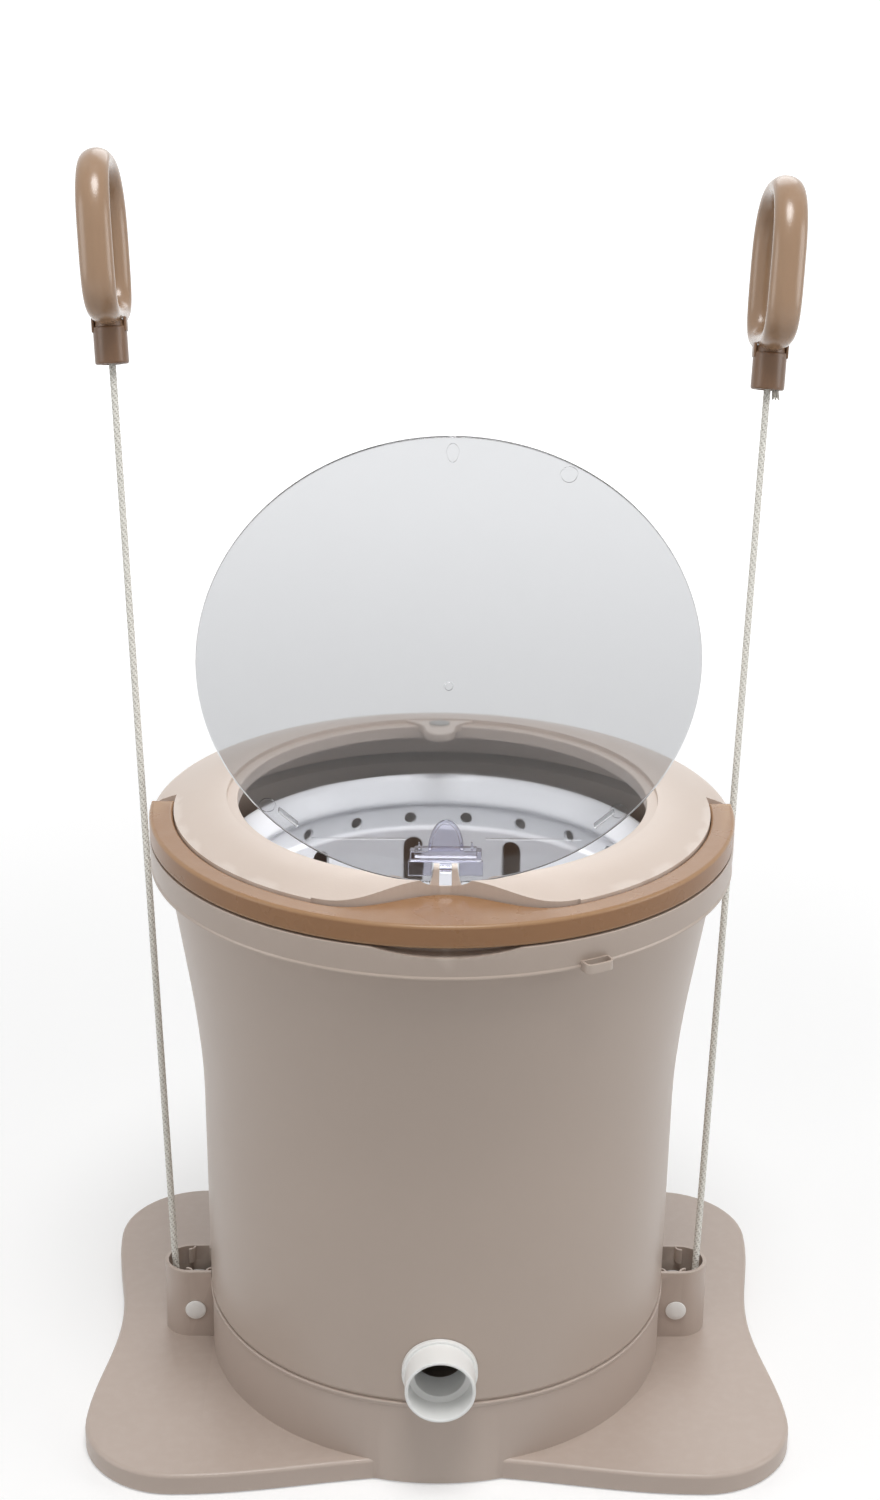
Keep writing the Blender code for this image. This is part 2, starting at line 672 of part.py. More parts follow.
def tub(mat):
    foot = SKIRT_TOP + GAP
    spigot = SKIRT_RADIUS - SKIRT_WALL - GAP
    spigot_inner = spigot - SPIGOT_WALL
    floor_under = TUB_FLOOR_TOP - TUB_FLOOR_THICK
    inner_foot = foot + TUB_WALL - GAP
    outer = [(BAND_RADIUS, BAND_TOP), (BAND_RADIUS, BAND_BOTTOM), (TUB_NECK_RADIUS + GAP, BAND_BOTTOM)]
    outer += [(flare(z), z) for z in reversed(tub_heights())]
    outer += [(TUB_BOTTOM_RADIUS, foot), (spigot, foot), (spigot, floor_under + SPIGOT_WALL),
              (spigot - SPIGOT_WALL, floor_under), (TUBE_BORE, floor_under), (TUBE_BORE, TUBE_TOP),
              (TUBE_RADIUS, TUBE_TOP), (TUBE_FOOT, TUB_FLOOR_TOP + SPIGOT_WALL),
              (TUBE_FOOT + SPIGOT_WALL, TUB_FLOOR_TOP), (spigot_inner - SPIGOT_WALL, TUB_FLOOR_TOP),
              (spigot_inner, TUB_FLOOR_TOP + SPIGOT_WALL), (spigot_inner, foot),
              (TUB_BOTTOM_RADIUS - TUB_WALL, inner_foot)]
    outer += [(flare(z) - TUB_WALL, z) for z in tub_heights()[::2]]
    outer.append((flare(TUB_NECK_Z) - TUB_WALL, TUB_NECK_Z))
    band_inner = BAND_RADIUS - BAND_WALL
    outer += [(band_inner, BAND_BOTTOM + BAND_WALL), (band_inner, BAND_TOP - SHELF_UNDER),
              (BAND_INNER, BAND_TOP - SHELF_UNDER), (BAND_INNER, BAND_TOP)]
    shell = turned("tub", outer, BIG_STEPS)
    shelf_top = SHELF_BOTTOM + SHELF_THICK
    for turn, x, y in around(SCREW_COUNT, TUB_BOSS_AT, math.pi / SCREW_COUNT / 2):
        join(shell, rod("tub.boss", TUB_BOSS_RADIUS, (x, y, shelf_top + GAP),
                        (x, y, floor_under + TUB_FLOOR_THICK / 2), PIN_STEPS))
        cut(shell, rod("tub.boss_bore", SCREW_SHANK_RADIUS + GAP, (x, y, shelf_top - OVERRUN),
                       (x, y, SHELF_BOTTOM + TUB_SCREW_LENGTH), PIN_STEPS))
    cut(shell, rod("tub.drain_hole", clear(THREAD_RADIUS, NOZZLE_STEPS),
                   (0, -TUB_BOTTOM_RADIUS - OVERRUN, NOZZLE_Z),
                   (0, -TUB_BOTTOM_RADIUS + TUB_WALL + OVERRUN, NOZZLE_Z), NOZZLE_STEPS))
    scoop_radius = (SCOOP_HALF ** 2 + SCOOP_DEPTH ** 2) / (2 * SCOOP_DEPTH)
    scoop_z = BAND_TOP - SCOOP_DEPTH + scoop_radius
    cut(shell, rod("tub.scoop", scoop_radius, (0, -BAND_RADIUS - OVERRUN, scoop_z),
                   (0, -BAND_INNER - BAND_WALL, scoop_z), MID_STEPS * 2))
    hook = block("tub.hook", (BAND_RADIUS - BAND_WALL / 2, -HOOK_WIDTH / 2, HOOK_BOTTOM),
                 (BAND_RADIUS + HOOK_REACH, HOOK_WIDTH / 2, HOOK_TOP))
    slot = block("tub.hook_slot", (BAND_RADIUS + GAP, HOOK_BAR - HOOK_WIDTH / 2, HOOK_BOTTOM - OVERRUN),
                 (BAND_RADIUS + HOOK_REACH - HOOK_BAR, HOOK_WIDTH / 2 - HOOK_BAR, HOOK_TOP + OVERRUN))
    for piece in (hook, slot):
        piece.rotation_euler.z = HOOK_ANGLE
        apply_transform(piece)
    join(shell, hook)
    cut(shell, slot)
    return as_part(shell, mat)


def to_front(obj):
    """Lay a turned piece so that its axis points to the front at the nozzle's height."""
    obj.rotation_euler.x = math.pi / 2
    obj.location.z = NOZZLE_Z
    return obj


def drain(nozzle_mat, nut_mat, rubber_mat):
    nozzle = to_front(turned("drain_nozzle", [
        (NOZZLE_RADIUS - NOZZLE_LIP, NOZZLE_MOUTH), (NOZZLE_RADIUS, NOZZLE_MOUTH - NOZZLE_LIP),
        (NOZZLE_RADIUS, FLANGE_FACE - NOZZLE_LIP), (THREAD_RADIUS, FLANGE_FACE - NOZZLE_LIP),
        (THREAD_RADIUS, THREAD_END), (THREAD_BORE, THREAD_END), (THREAD_BORE, NOZZLE_STEP - NOZZLE_LIP),
        (NOZZLE_BORE, NOZZLE_STEP), (NOZZLE_BORE, NOZZLE_MOUTH - NOZZLE_LIP),
        (NOZZLE_BORE + NOZZLE_LIP, NOZZLE_MOUTH)], NOZZLE_STEPS))
    flange = to_front(ring("nozzle.flange", FLANGE_RADIUS, THREAD_BORE + NOZZLE_LIP, NUT_FACE,
                           FLANGE_FACE, NOZZLE_STEPS))
    wall = rod("nozzle.wall", flare(NOZZLE_Z + FLANGE_RADIUS) + GAP,
               (0, 0, NOZZLE_Z - FLANGE_RADIUS - OVERRUN),
               (0, 0, NOZZLE_Z + FLANGE_RADIUS + OVERRUN), BIG_STEPS * 2)
    cut(flange, wall)
    join(nozzle, flange)
    as_part(nozzle, nozzle_mat)
    gasket = to_front(ring("drain_gasket", GASKET_RADIUS, THREAD_RADIUS + GAP, NUT_FACE + GAP,
                           TUB_BOTTOM_RADIUS, NOZZLE_STEPS))
    inside = rod("gasket.wall", TUB_BOTTOM_RADIUS - TUB_WALL - GAP,
                 (0, 0, NOZZLE_Z - NUT_RADIUS - OVERRUN), (0, 0, NOZZLE_Z + NUT_RADIUS + OVERRUN),
                 BIG_STEPS)
    boolean(gasket, inside, "INTERSECT")
    as_part(gasket, rubber_mat)
    nut = to_front(ring("drain_nut", NUT_RADIUS, THREAD_RADIUS + GAP, NUT_FACE - NUT_THICK, NUT_FACE,
                        NOZZLE_STEPS))
    as_part(nut, nut_mat)


def crown(radius):
    """Height of the top ring's upper face at a radius."""
    share = (RING_CUTBACK - radius) / (RING_CUTBACK - RING_CREST_RADIUS)
    bulge = RING_CUTBACK_Z + (RING_CREST_Z - RING_CUTBACK_Z) * math.sin(share * math.pi / 2)
    return bulge


def wave_outline(clearance, outer_radius):
    """The grip's wave seen from above, cut off by an outer radius, for one clearance."""
    inner = BAIL_INNER - clearance
    middle = GRIP_INNER_Y - clearance
    half = GRIP_HALF + clearance
    points = []
    steps = WAVE_STEPS
    for i in range(steps + 1):
        x = -half + 2 * half * i / steps
        rise = 0.5 + 0.5 * math.cos(math.pi * x / half)
        edge = math.sqrt(inner ** 2 - x ** 2)
        points.append((x, -(edge + (middle - edge) * rise)))
    reach = math.asin(half / outer_radius)
    for i in range(steps + 1):
        turn = reach - 2 * reach * i / steps
        points.append((outer_radius * math.sin(turn), -outer_radius * math.cos(turn)))
    return points


def top_ring(mat):
    bottom = BAND_TOP + GAP
    crest = [(radius, crown(radius)) for radius in
             [RING_CREST_RADIUS + (RING_CUTBACK - RING_CREST_RADIUS) * i / 4 for i in range(5)]]
    profile = crest + [
        (RING_BROW_RADIUS, RING_BROW_Z), (RING_OUTER, RING_EDGE_Z), (RING_OUTER, bottom),
        (RING_OUTER - RING_SHELL, bottom), (RING_OUTER - RING_SHELL, RING_EDGE_Z - RING_SHELL),
        (RING_SPIGOT_OUTER, RING_EDGE_Z - RING_SHELL), (RING_SPIGOT_OUTER, RING_SPIGOT_BOTTOM),
        (RING_SPIGOT_INNER, RING_SPIGOT_BOTTOM), (RING_SPIGOT_INNER, RING_EDGE_Z - RING_SHELL),
        (LID_RADIUS, BAIL_TOP - OPENING_EDGE), (OPENING_RADIUS + RING_SHELL, BAIL_TOP - RING_SHELL),
        (OPENING_RADIUS + RING_SHELL, RING_LIP_BOTTOM), (OPENING_RADIUS, RING_LIP_BOTTOM),
        (OPENING_RADIUS, LEDGE_Z - OPENING_EDGE), (OPENING_RADIUS + OPENING_EDGE, LEDGE_Z),
        (RING_CREST_RADIUS - GAP, LEDGE_Z)]
    cover = turned("top_ring", profile, BIG_STEPS)
    filler_top = RING_CUTBACK_Z - 2 * GAP
    pocket_wall = POCKET_GAP + RING_SHELL
    join(cover, slab("ring.filler", wave_outline(pocket_wall, RING_SPIGOT_INNER + GAP),
                     BAIL_BOTTOM - RING_SHELL, filler_top))
    cut(cover, slab("ring.pocket", wave_outline(POCKET_GAP, BAND_RADIUS + OVERRUN),
                    BAIL_BOTTOM - GAP, RING_CREST_Z + OVERRUN))
    room = ring("ring.bail_room", BAND_RADIUS + OVERRUN, RING_CUTBACK, BAND_TOP, RING_CREST_Z + OVERRUN,
                BIG_STEPS)
    back_y = BAIL_PIVOT_Y + BAIL_END_RADIUS + POCKET_GAP
    far = BAND_RADIUS + 2 * OVERRUN
    cut(room, block("ring.room_back", (-far, back_y, BAND_TOP - OVERRUN),
                    (far, far, RING_CREST_Z + 2 * OVERRUN)))
    cut(cover, room)
    for side in (-1, 1):
        join(cover, rod("ring.pin_boss", PIN_BOSS_RADIUS, (side * BAIL_PIN_INNER_X, BAIL_PIVOT_Y, BAIL_PIVOT_Z),
                        (side * RING_CUTBACK, BAIL_PIVOT_Y, BAIL_PIVOT_Z), SMALL_STEPS))
        cut(cover, rod("ring.pin_bore", BAIL_PIN_RADIUS + GAP,
                       (side * (BAIL_PIN_INNER_X - GAP), BAIL_PIVOT_Y, BAIL_PIVOT_Z),
                       (side * (RING_CUTBACK + OVERRUN), BAIL_PIVOT_Y, BAIL_PIVOT_Z), PIN_STEPS))
    drop = [(BOSS_HALF_WIDTH * math.cos(turn), BOSS_WIDE_Y - (BOSS_WIDE_Y - BOSS_TIP_Y) * math.sin(turn))
            for turn in [math.pi * i / 16 for i in range(17)]]
    drop += [(-BOSS_HALF_WIDTH, RING_CREST_RADIUS + BOSS_HALF_WIDTH / 4),
             (BOSS_HALF_WIDTH, RING_CREST_RADIUS + BOSS_HALF_WIDTH / 4)]
    join(cover, slab("ring.boss", drop, BAIL_TOP - RING_SHELL, BOSS_TOP))
    cut(cover, slab("ring.catch_pocket", oval(CATCH_HALF_WIDTH + GAP, CATCH_HALF_LENGTH + GAP, CATCH_Y),
                    BOSS_TOP - CATCH_DEPTH, BOSS_TOP + OVERRUN))
    cut(cover, rod("ring.trough", TROUGH_RADIUS, (-TROUGH_HALF, HINGE_Y, hinge_z()),
                   (TROUGH_HALF, HINGE_Y, hinge_z()), MID_STEPS))
    cut(cover, block("ring.block_recess", (-RECESS_HALF, HINGE_Y - GAP, RING_LIP_BOTTOM - OVERRUN),
                     (RECESS_HALF, 0.0, hinge_z())))
    for side in (-1, 1):
        ends = sorted((side * EAR_INNER_X, side * (EAR_INNER_X + EAR_THICK)))
        ear = rod("ring.ear", EAR_RADIUS, (ends[0], HINGE_Y, hinge_z()), (ends[1], HINGE_Y, hinge_z()),
                  PIN_STEPS)
        foot = block("ring.ear_foot", (ends[0], HINGE_Y - EAR_RADIUS, BAIL_TOP - RING_SHELL / 2),
                     (ends[1], HINGE_Y + EAR_RADIUS - GAP, hinge_z()))
        join(ear, foot)
        join(cover, ear)
    cut(cover, rod("ring.hinge_bore", HINGE_PIN_RADIUS + GAP, (-RECESS_HALF, HINGE_Y, hinge_z()),
                   (RECESS_HALF, HINGE_Y, hinge_z()), PIN_STEPS))
    return as_part(cover, mat)


def oval(half_width, half_length, centre_y):
    return [(half_width * math.cos(turn), centre_y + half_length * math.sin(turn))
            for turn in [math.tau * i / PIN_STEPS for i in range(PIN_STEPS)]]


def hinge_z():
    return lid_under() + LID_THICK / 2


def lid_under():
    return LEDGE_Z + GAP + LID_SKIRT_DEPTH


def lid_catch(mat):
    catch = slab("lid_catch", oval(CATCH_HALF_WIDTH, CATCH_HALF_LENGTH, CATCH_Y),
                 BOSS_TOP - CATCH_DEPTH + GAP, BOSS_TOP + CATCH_PROUD)
    return as_part(catch, mat)


def swing(obj, pivot):
    """Hang a piece modelled in its closed place on the pivot's empty."""
    obj.parent = pivot
    obj.location = -pivot.location
    return obj


def lid(clear_mat, block_mat, pin_mat):
    pivot = bpy.data.objects.new("lid_pivot", None)
    PARTS.objects.link(pivot)
    pivot.location = (0.0, HINGE_Y, hinge_z())
    under = lid_under()
    top = under + LID_THICK
    disc = turned("lid", [
        (0.0, top), (LID_RADIUS - LID_EDGE_ROUND, top), (LID_RADIUS, top - LID_EDGE_ROUND),
        (LID_RADIUS, under + LID_EDGE_ROUND), (LID_RADIUS - LID_EDGE_ROUND, under),
        (0.0, under)], BIG_STEPS, closed=False)
    skirt = ring("lid.skirt", LID_SKIRT_OUTER, LID_SKIRT_INNER, under - LID_SKIRT_DEPTH,
                 under + LID_THICK / 2, BIG_STEPS)
    slot_end = -LID_RADIUS + SLOT_DEPTH
    slot = block("lid.slot", (-SLOT_HALF, -LID_RADIUS - OVERRUN, under - LID_SKIRT_DEPTH - OVERRUN),
                 (SLOT_HALF, slot_end, top + OVERRUN))
    front_gap = block("lid.front_gap", (-TROUGH_HALF, -LID_RADIUS, under - LID_SKIRT_DEPTH - OVERRUN),
                      (TROUGH_HALF, slot_end, top + OVERRUN))
    rear_gap = block("lid.rear_gap",
                     (-BOSS_HALF_WIDTH - OVERRUN, BOSS_TIP_Y, under - LID_SKIRT_DEPTH - OVERRUN),
                     (BOSS_HALF_WIDTH + OVERRUN, LID_RADIUS, top + OVERRUN))
    cut(skirt, front_gap)
    cut(skirt, rear_gap)
    join(disc, skirt)
    cut(disc, slot)
    for tool in (skirt, slot, front_gap, rear_gap):
        swing(tool, pivot)
    swing(as_part(disc, clear_mat), pivot)
    back = HINGE_Y + BLOCK_LENGTH
    body = block("lid_hinge_block", (-BLOCK_HALF, HINGE_Y + EAR_RADIUS + GAP, under - BLOCK_DEPTH),
                 (BLOCK_HALF, back, under - GAP))
    stem = block("hinge.stem", (-STEM_HALF, HINGE_Y, under - GAP - BLOCK_DEPTH / 3),
                 (STEM_HALF, back - GAP, under + LID_THICK / 2))
    knuckle = rod("hinge.knuckle", EAR_RADIUS, (-STEM_HALF, HINGE_Y, hinge_z()),
                  (STEM_HALF, HINGE_Y, hinge_z()), PIN_STEPS)
    bore = rod("hinge.bore", HINGE_PIN_RADIUS + GAP, (-RECESS_HALF, HINGE_Y, hinge_z()),
               (RECESS_HALF, HINGE_Y, hinge_z()), PIN_STEPS)
    lug_start = back - OVERRUN
    lug_outline = [(LUG_HALF * math.cos(turn), lug_start + LUG_LENGTH * math.sin(turn))
                   for turn in [math.pi * i / 12 for i in range(13)]]
    lug = slab("hinge.lug", lug_outline, under - GAP - LUG_THICK, under - GAP)
    top_trim = block("hinge.top_trim", (-BLOCK_HALF - OVERRUN, slot_end - GAP, under - GAP),
                     (BLOCK_HALF + OVERRUN, back + LUG_LENGTH * 2, under + LID_THICK + OVERRUN))
    join(stem, knuckle)
    for tool in (stem, lug):
        join(body, tool)
    for tool in (bore, top_trim):
        cut(body, tool)
    for tool in (stem, knuckle, lug, bore, top_trim):
        swing(tool, pivot)
    swing(as_part(body, block_mat), pivot)
    reach = EAR_INNER_X + EAR_THICK
    pin = rod("lid_hinge_pin", HINGE_PIN_RADIUS, (-reach, HINGE_Y, hinge_z()), (reach, HINGE_Y, hinge_z()),
              PIN_STEPS)
    as_part(pin, pin_mat)
    pivot.rotation_euler.x = LID_OPEN_ANGLE


def bail(mat, pin_mat):
    steps = 30
    outer = []
    inner = []
    end_turn = math.asin(BAIL_PIVOT_Y / BAIL_OUTER)
    for i in range(steps + 1):
        turn = end_turn - (math.pi + 2 * end_turn) * i / steps
        outer.append((BAIL_OUTER * math.cos(turn), BAIL_OUTER * math.sin(turn)))
    wave = wave_outline(0.0, BAIL_OUTER)
    wave_edge = wave[:WAVE_STEPS + 1]
    wave_start = math.asin(GRIP_HALF / BAIL_INNER)
    side_steps = 14
    end_inner = math.asin(BAIL_PIVOT_Y / BAIL_INNER)
    sweep = math.pi / 2 + end_inner - wave_start
    for i in range(side_steps):
        turn = math.pi - end_inner + sweep * i / side_steps
        inner.append((BAIL_INNER * math.cos(turn), BAIL_INNER * math.sin(turn)))
    inner += wave_edge
    for i in range(side_steps):
        turn = -math.pi / 2 + wave_start + sweep * (i + 1) / side_steps
        inner.append((BAIL_INNER * math.cos(turn), BAIL_INNER * math.sin(turn)))
    obj = bevel(slab("carry_bail", outer + inner, BAIL_BOTTOM, BAIL_TOP), BAIL_ROUND, BAIL_ROUND_STEPS)
    for side in (-1, 1):
        ends = sorted((side * BAIL_INNER, side * BAIL_OUTER))
        join(obj, rod("bail.end", BAIL_END_RADIUS, (ends[0] + GAP, BAIL_PIVOT_Y, BAIL_PIVOT_Z),
                      (ends[1] - GAP, BAIL_PIVOT_Y, BAIL_PIVOT_Z), SMALL_STEPS))
        bore_ends = (side * (BAIL_INNER - OVERRUN), side * (BAIL_PIN_OUTER_X + GAP))
        cut(obj, rod("bail.bore", BAIL_PIN_RADIUS + GAP, (bore_ends[0], BAIL_PIVOT_Y, BAIL_PIVOT_Z),
                     (bore_ends[1], BAIL_PIVOT_Y, BAIL_PIVOT_Z), PIN_STEPS))
    as_part(obj, mat)
    for side, name in ((-1, "bail_pin_left"), (1, "bail_pin_right")):
        as_part(rod(name, BAIL_PIN_RADIUS, (side * (BAIL_PIN_INNER_X + GAP), BAIL_PIVOT_Y, BAIL_PIVOT_Z),
                    (side * BAIL_PIN_OUTER_X, BAIL_PIVOT_Y, BAIL_PIVOT_Z), PIN_STEPS), pin_mat)


def basket_radius(z):
    share = (z - BASKET_FOOT_Z) / (BASKET_TOP - BASKET_FOOT_Z)
    return BASKET_FOOT_RADIUS + (BASKET_TOP_RADIUS - BASKET_FOOT_RADIUS) * share


def basket(mat, rim_mat, nut_mat):
    bore = SHAFT_RADIUS + GAP
    cone_under = SHAFT_COLLAR_TOP + GAP
    wall = BASKET_WALL
    corner = (BASKET_FOOT_Z - BASKET_BOTTOM) / 2
    shell = turned("basket", [
        (BASKET_TOP_RADIUS, BASKET_TOP), (BASKET_FOOT_RADIUS, BASKET_FOOT_Z),
        (BASKET_FOOT_RADIUS - wall, BASKET_FOOT_Z - corner), (BASKET_FLAT_RADIUS, BASKET_BOTTOM),
        (CONE_FOOT - wall, BASKET_BOTTOM), (CONE_TOP - wall, cone_under), (bore, cone_under),
        (bore, CONE_TOP_Z), (CONE_TOP, CONE_TOP_Z), (CONE_FOOT, BASKET_BOTTOM + wall),
        (BASKET_FLAT_RADIUS - wall / 2, BASKET_BOTTOM + wall),
        (BASKET_FOOT_RADIUS - 2 * wall, BASKET_FOOT_Z - corner + wall / 2),
        (BASKET_FOOT_RADIUS - wall, BASKET_FOOT_Z + wall / 2),
        (BASKET_TOP_RADIUS - wall, BASKET_TOP)], MID_STEPS)
    for turn, x, y in around(HOLE_COUNT, 1.0, math.pi / 2 + math.pi / HOLE_COUNT):
        out = basket_radius(HOLE_Z) + OVERRUN
        start = out - BASKET_WALL - 2 * OVERRUN
        cut(shell, rod("basket.hole", HOLE_RADIUS, (x * start, y * start, HOLE_Z),
                       (x * out, y * out, HOLE_Z), PIN_STEPS))
    for row in range(SLOT_ROWS):
        centre_z = SLOT_TOP_Z - SLOT_HEIGHT / 2 - SLOT_PITCH * row
        first = math.pi / 2 + math.pi / SLOT_COUNT * (0.5 + row % 2)
        for turn, x, y in around(SLOT_COUNT, 1.0, first):
            cut(shell, slot_tool(turn, centre_z))
    as_part(shell, mat)
    top = RIM_TOP
    snap = BASKET_TOP_RADIUS + GAP
    seat = BASKET_TOP + GAP
    inner = BASKET_TOP_RADIUS - wall
    rim = turned("basket_rim", [
        (RIM_LIP_RADIUS + GAP, top), (RIM_OUTER, top - wall),
        (RIM_OUTER, top - 2 * wall), (snap + wall, seat + wall), (snap + wall, RIM_SKIRT_BOTTOM),
        (snap, RIM_SKIRT_BOTTOM), (snap, seat), (inner - GAP, seat), (inner, seat + wall),
        (RIM_LIP_RADIUS - wall, top - wall)], MID_STEPS)
    as_part(rim, rim_mat)
    as_part(ring("basket_nut", BASKET_NUT_RADIUS, clear(SHAFT_RADIUS, NUT_SIDES), CONE_TOP_Z + GAP,
                 CONE_TOP_Z + GAP + BASKET_NUT_HEIGHT, NUT_SIDES), nut_mat)


def slot_tool(turn, centre_z):
    """A rounded upright slot cut through the basket's wall at an angle."""
    half = SLOT_WIDTH / 2
    straight = SLOT_HEIGHT / 2 - half
    outline = []
    for i in range(4):
        tilt = math.pi * i / 3
        outline.append((half * math.cos(tilt), straight + half * math.sin(tilt)))
    for i in range(4):
        tilt = math.pi + math.pi * i / 3
        outline.append((half * math.cos(tilt), -straight + half * math.sin(tilt)))
    out = BASKET_TOP_RADIUS + OVERRUN
    tool = slab("basket.slot", outline, BASKET_FOOT_RADIUS - 2 * OVERRUN, out)
    stand = Matrix(((0, 0, 1, 0), (1, 0, 0, 0), (0, 1, 0, centre_z), (0, 0, 0, 1)))
    tool.matrix_basis = Matrix.Rotation(turn, 4, "Z") @ stand
    return apply_transform(tool)


def shaft_and_seals(steel, bronze, rubber):
    floor = COVER_THICK + GAP
    shaft = turned("drive_shaft", [
        (0.0, SHAFT_TOP), (SHAFT_RADIUS, SHAFT_TOP), (SHAFT_RADIUS, SHAFT_COLLAR_TOP),
        (SHAFT_COLLAR, SHAFT_COLLAR_TOP), (SHAFT_COLLAR, SHAFT_COLLAR_BOTTOM),
        (SHAFT_RADIUS, SHAFT_COLLAR_BOTTOM), (SHAFT_RADIUS, floor), (0.0, floor)],
        SMALL_STEPS, closed=False)
    as_part(shaft, steel)
    bore = SHAFT_RADIUS + GAP
    as_part(ring("lower_bush", BUSH_RADIUS, bore, floor, floor + BUSH_LENGTH, SMALL_STEPS), bronze)
    as_part(ring("upper_bush", BUSH_RADIUS, bore, TUBE_TOP - BUSH_LENGTH, TUBE_TOP, SMALL_STEPS), bronze)
    as_part(ring("shaft_seal", TUBE_RADIUS, bore, TUBE_TOP + GAP, TUBE_TOP + GAP + SEAL_THICK,
                 SMALL_STEPS), rubber)


def spool_top():
    return SPOOL_BASE + SPOOL_HEIGHT


def place_spool_part(obj, upper):
    """The right spool is the left one turned over and set on top of it."""
    if upper:
        flip = Matrix.Translation((0, 0, 2 * (spool_top() + GAP))) @ Matrix.Rotation(math.pi, 4, "X")
        obj.matrix_basis = flip
    return obj


def groove_middle(upper):
    middle = SPOOL_BASE + SPOOL_HEIGHT / 2
    return 2 * (spool_top() + GAP) - middle if upper else middle


def spring_ribbon(name, bottom, top, start, end):
    """A flat spiral spring: an open ribbon on a spiral, with a thickness."""
    count = int(SPRING_TURNS * SPRING_POINTS_PER_TURN)
    mesh = bpy.data.meshes.new(name)
    work = bmesh.new()
    rows = []
    for i in range(count + 1):
        turn = math.tau * i / SPRING_POINTS_PER_TURN
        radius = start + (end - start) * i / count
        x = radius * math.cos(turn)
        y = radius * math.sin(turn)
        rows.append((work.verts.new((x, y, bottom)), work.verts.new((x, y, top))))
    for near, far in zip(rows, rows[1:]):
        work.faces.new((near[0], far[0], far[1], near[1]))
    work.to_mesh(mesh)
    work.free()
    obj = bpy.data.objects.new(name, mesh)
    PARTS.objects.link(obj)
    mod = obj.modifiers.new("Thickness", "SOLIDIFY")
    mod.thickness = SPRING_THICK
    mod.offset = 0.0
    return obj


def spool_set(side, upper, mats):
    base = SPOOL_BASE
    top = spool_top()
    web = base + SPOOL_CAVITY_DEPTH
    seat = CLUTCH_RADIUS + GAP
    drum = turned(side + "_spool", [
        (SPOOL_FLANGE, top), (SPOOL_FLANGE, top - SPOOL_FLANGE_THICK),
        (SPOOL_CORE, top - SPOOL_FLANGE_THICK), (SPOOL_CORE, base + SPOOL_FLANGE_THICK),
        (SPOOL_FLANGE, base + SPOOL_FLANGE_THICK), (SPOOL_FLANGE, base), (SPOOL_CAVITY, base),
        (SPOOL_CAVITY, web), (seat, web), (seat, top)], HIDDEN_STEPS)
    as_part(place_spool_part(drum, upper), mats["spool"])
    clutch = ring(side + "_clutch", CLUTCH_RADIUS, SHAFT_RADIUS + GAP, web, top, SMALL_STEPS)
    as_part(place_spool_part(clutch, upper), mats["steel"])
    middle = base + SPOOL_HEIGHT / 2
    winding = ring(side + "_winding", SPOOL_CORE + GAP + 2 * ROPE_RADIUS, SPOOL_CORE + GAP,
                   middle - RESERVE_TURNS_WIDTH / 2, middle + RESERVE_TURNS_WIDTH / 2, HIDDEN_STEPS)
    as_part(place_spool_part(winding, upper), mats["rope"])
    inner = clear(COVER_POST_RADIUS, SPRING_POINTS_PER_TURN) + SPRING_THICK / 2
    outer = SPOOL_CAVITY - GAP - SPRING_THICK / 2
    bottom = base + GAP
    spring = spring_ribbon(side + "_recoil_spring", bottom, bottom + SPRING_HEIGHT, inner, outer)
    as_part(place_spool_part(spring, upper), mats["steel"])


def carrier(mat):
    bottom = SHELF_BOTTOM + SHELF_THICK + GAP
    top = bottom + CARRIER_THICK
    plate = turned("mechanism_plate", [
        (CARRIER_RADIUS, top), (CARRIER_RADIUS, bottom), (COVER_POST_RADIUS, bottom),
        (COVER_POST_RADIUS, CARRIER_POST_BOTTOM), (BUSH_RADIUS + GAP, CARRIER_POST_BOTTOM),
        (BUSH_RADIUS + GAP, top)], HIDDEN_STEPS)
    return as_part(plate, mat)


def roller_set(side, name, mats):
    half = ROLLER_HALF
    flat = half - ROLLER_FLANGE_THICK
    roller = turned(name + "_roller", [
        (ROLLER_FLANGE, half), (ROLLER_FLANGE, flat), (ROLLER_GROOVE, flat - ROLLER_FLANGE_THICK),
        (ROLLER_GROOVE, ROLLER_FLANGE_THICK - flat), (ROLLER_FLANGE, -flat), (ROLLER_FLANGE, -half),
        (ROLLER_BORE, -half), (ROLLER_BORE, half)], SMALL_STEPS)
    roller.rotation_euler.x = math.pi / 2
    roller.location = (side * ROLLER_X, TOWER_CENTRE_Y, ROLLER_Z)
    as_part(roller, mats["spool"])
    front = TOWER_HALF_WIDTH + GAP
    pin = turned(name + "_roller_pin", [
        (0.0, front + CAP_HEIGHT), (CAP_RADIUS / 2, front + CAP_HEIGHT),
        (CAP_RADIUS, front + CAP_HEIGHT / 2), (CAP_RADIUS, front), (PIN_RADIUS, front),
        (PIN_RADIUS, -TOWER_HALF_WIDTH), (0.0, -TOWER_HALF_WIDTH)], SMALL_STEPS, closed=False)
    pin.rotation_euler.x = math.pi / 2
    pin.location = roller.location
    as_part(pin, mats["cap"])


def rope_line_radius():
    """Middle of the rope from the roller's axis."""
    return ROLLER_GROOVE + GAP + ROPE_RADIUS


def tangent_point(side):
    return Vector((side * (ROLLER_X + rope_line_radius()), ROPE_IN_TOWER_Y, ROLLER_Z))


def grip_frame(side, hub):
    """Axes of a grip: Z along the rope, Y as near to the machine's Y as that allows."""
    up = (hub - tangent_point(side)).normalized()
    across = Vector((0, 1, 0)).cross(up).normalized()
    along = up.cross(across).normalized()
    frame = Matrix((across, along, up)).transposed().to_4x4()
    return Matrix.Translation(hub) @ frame


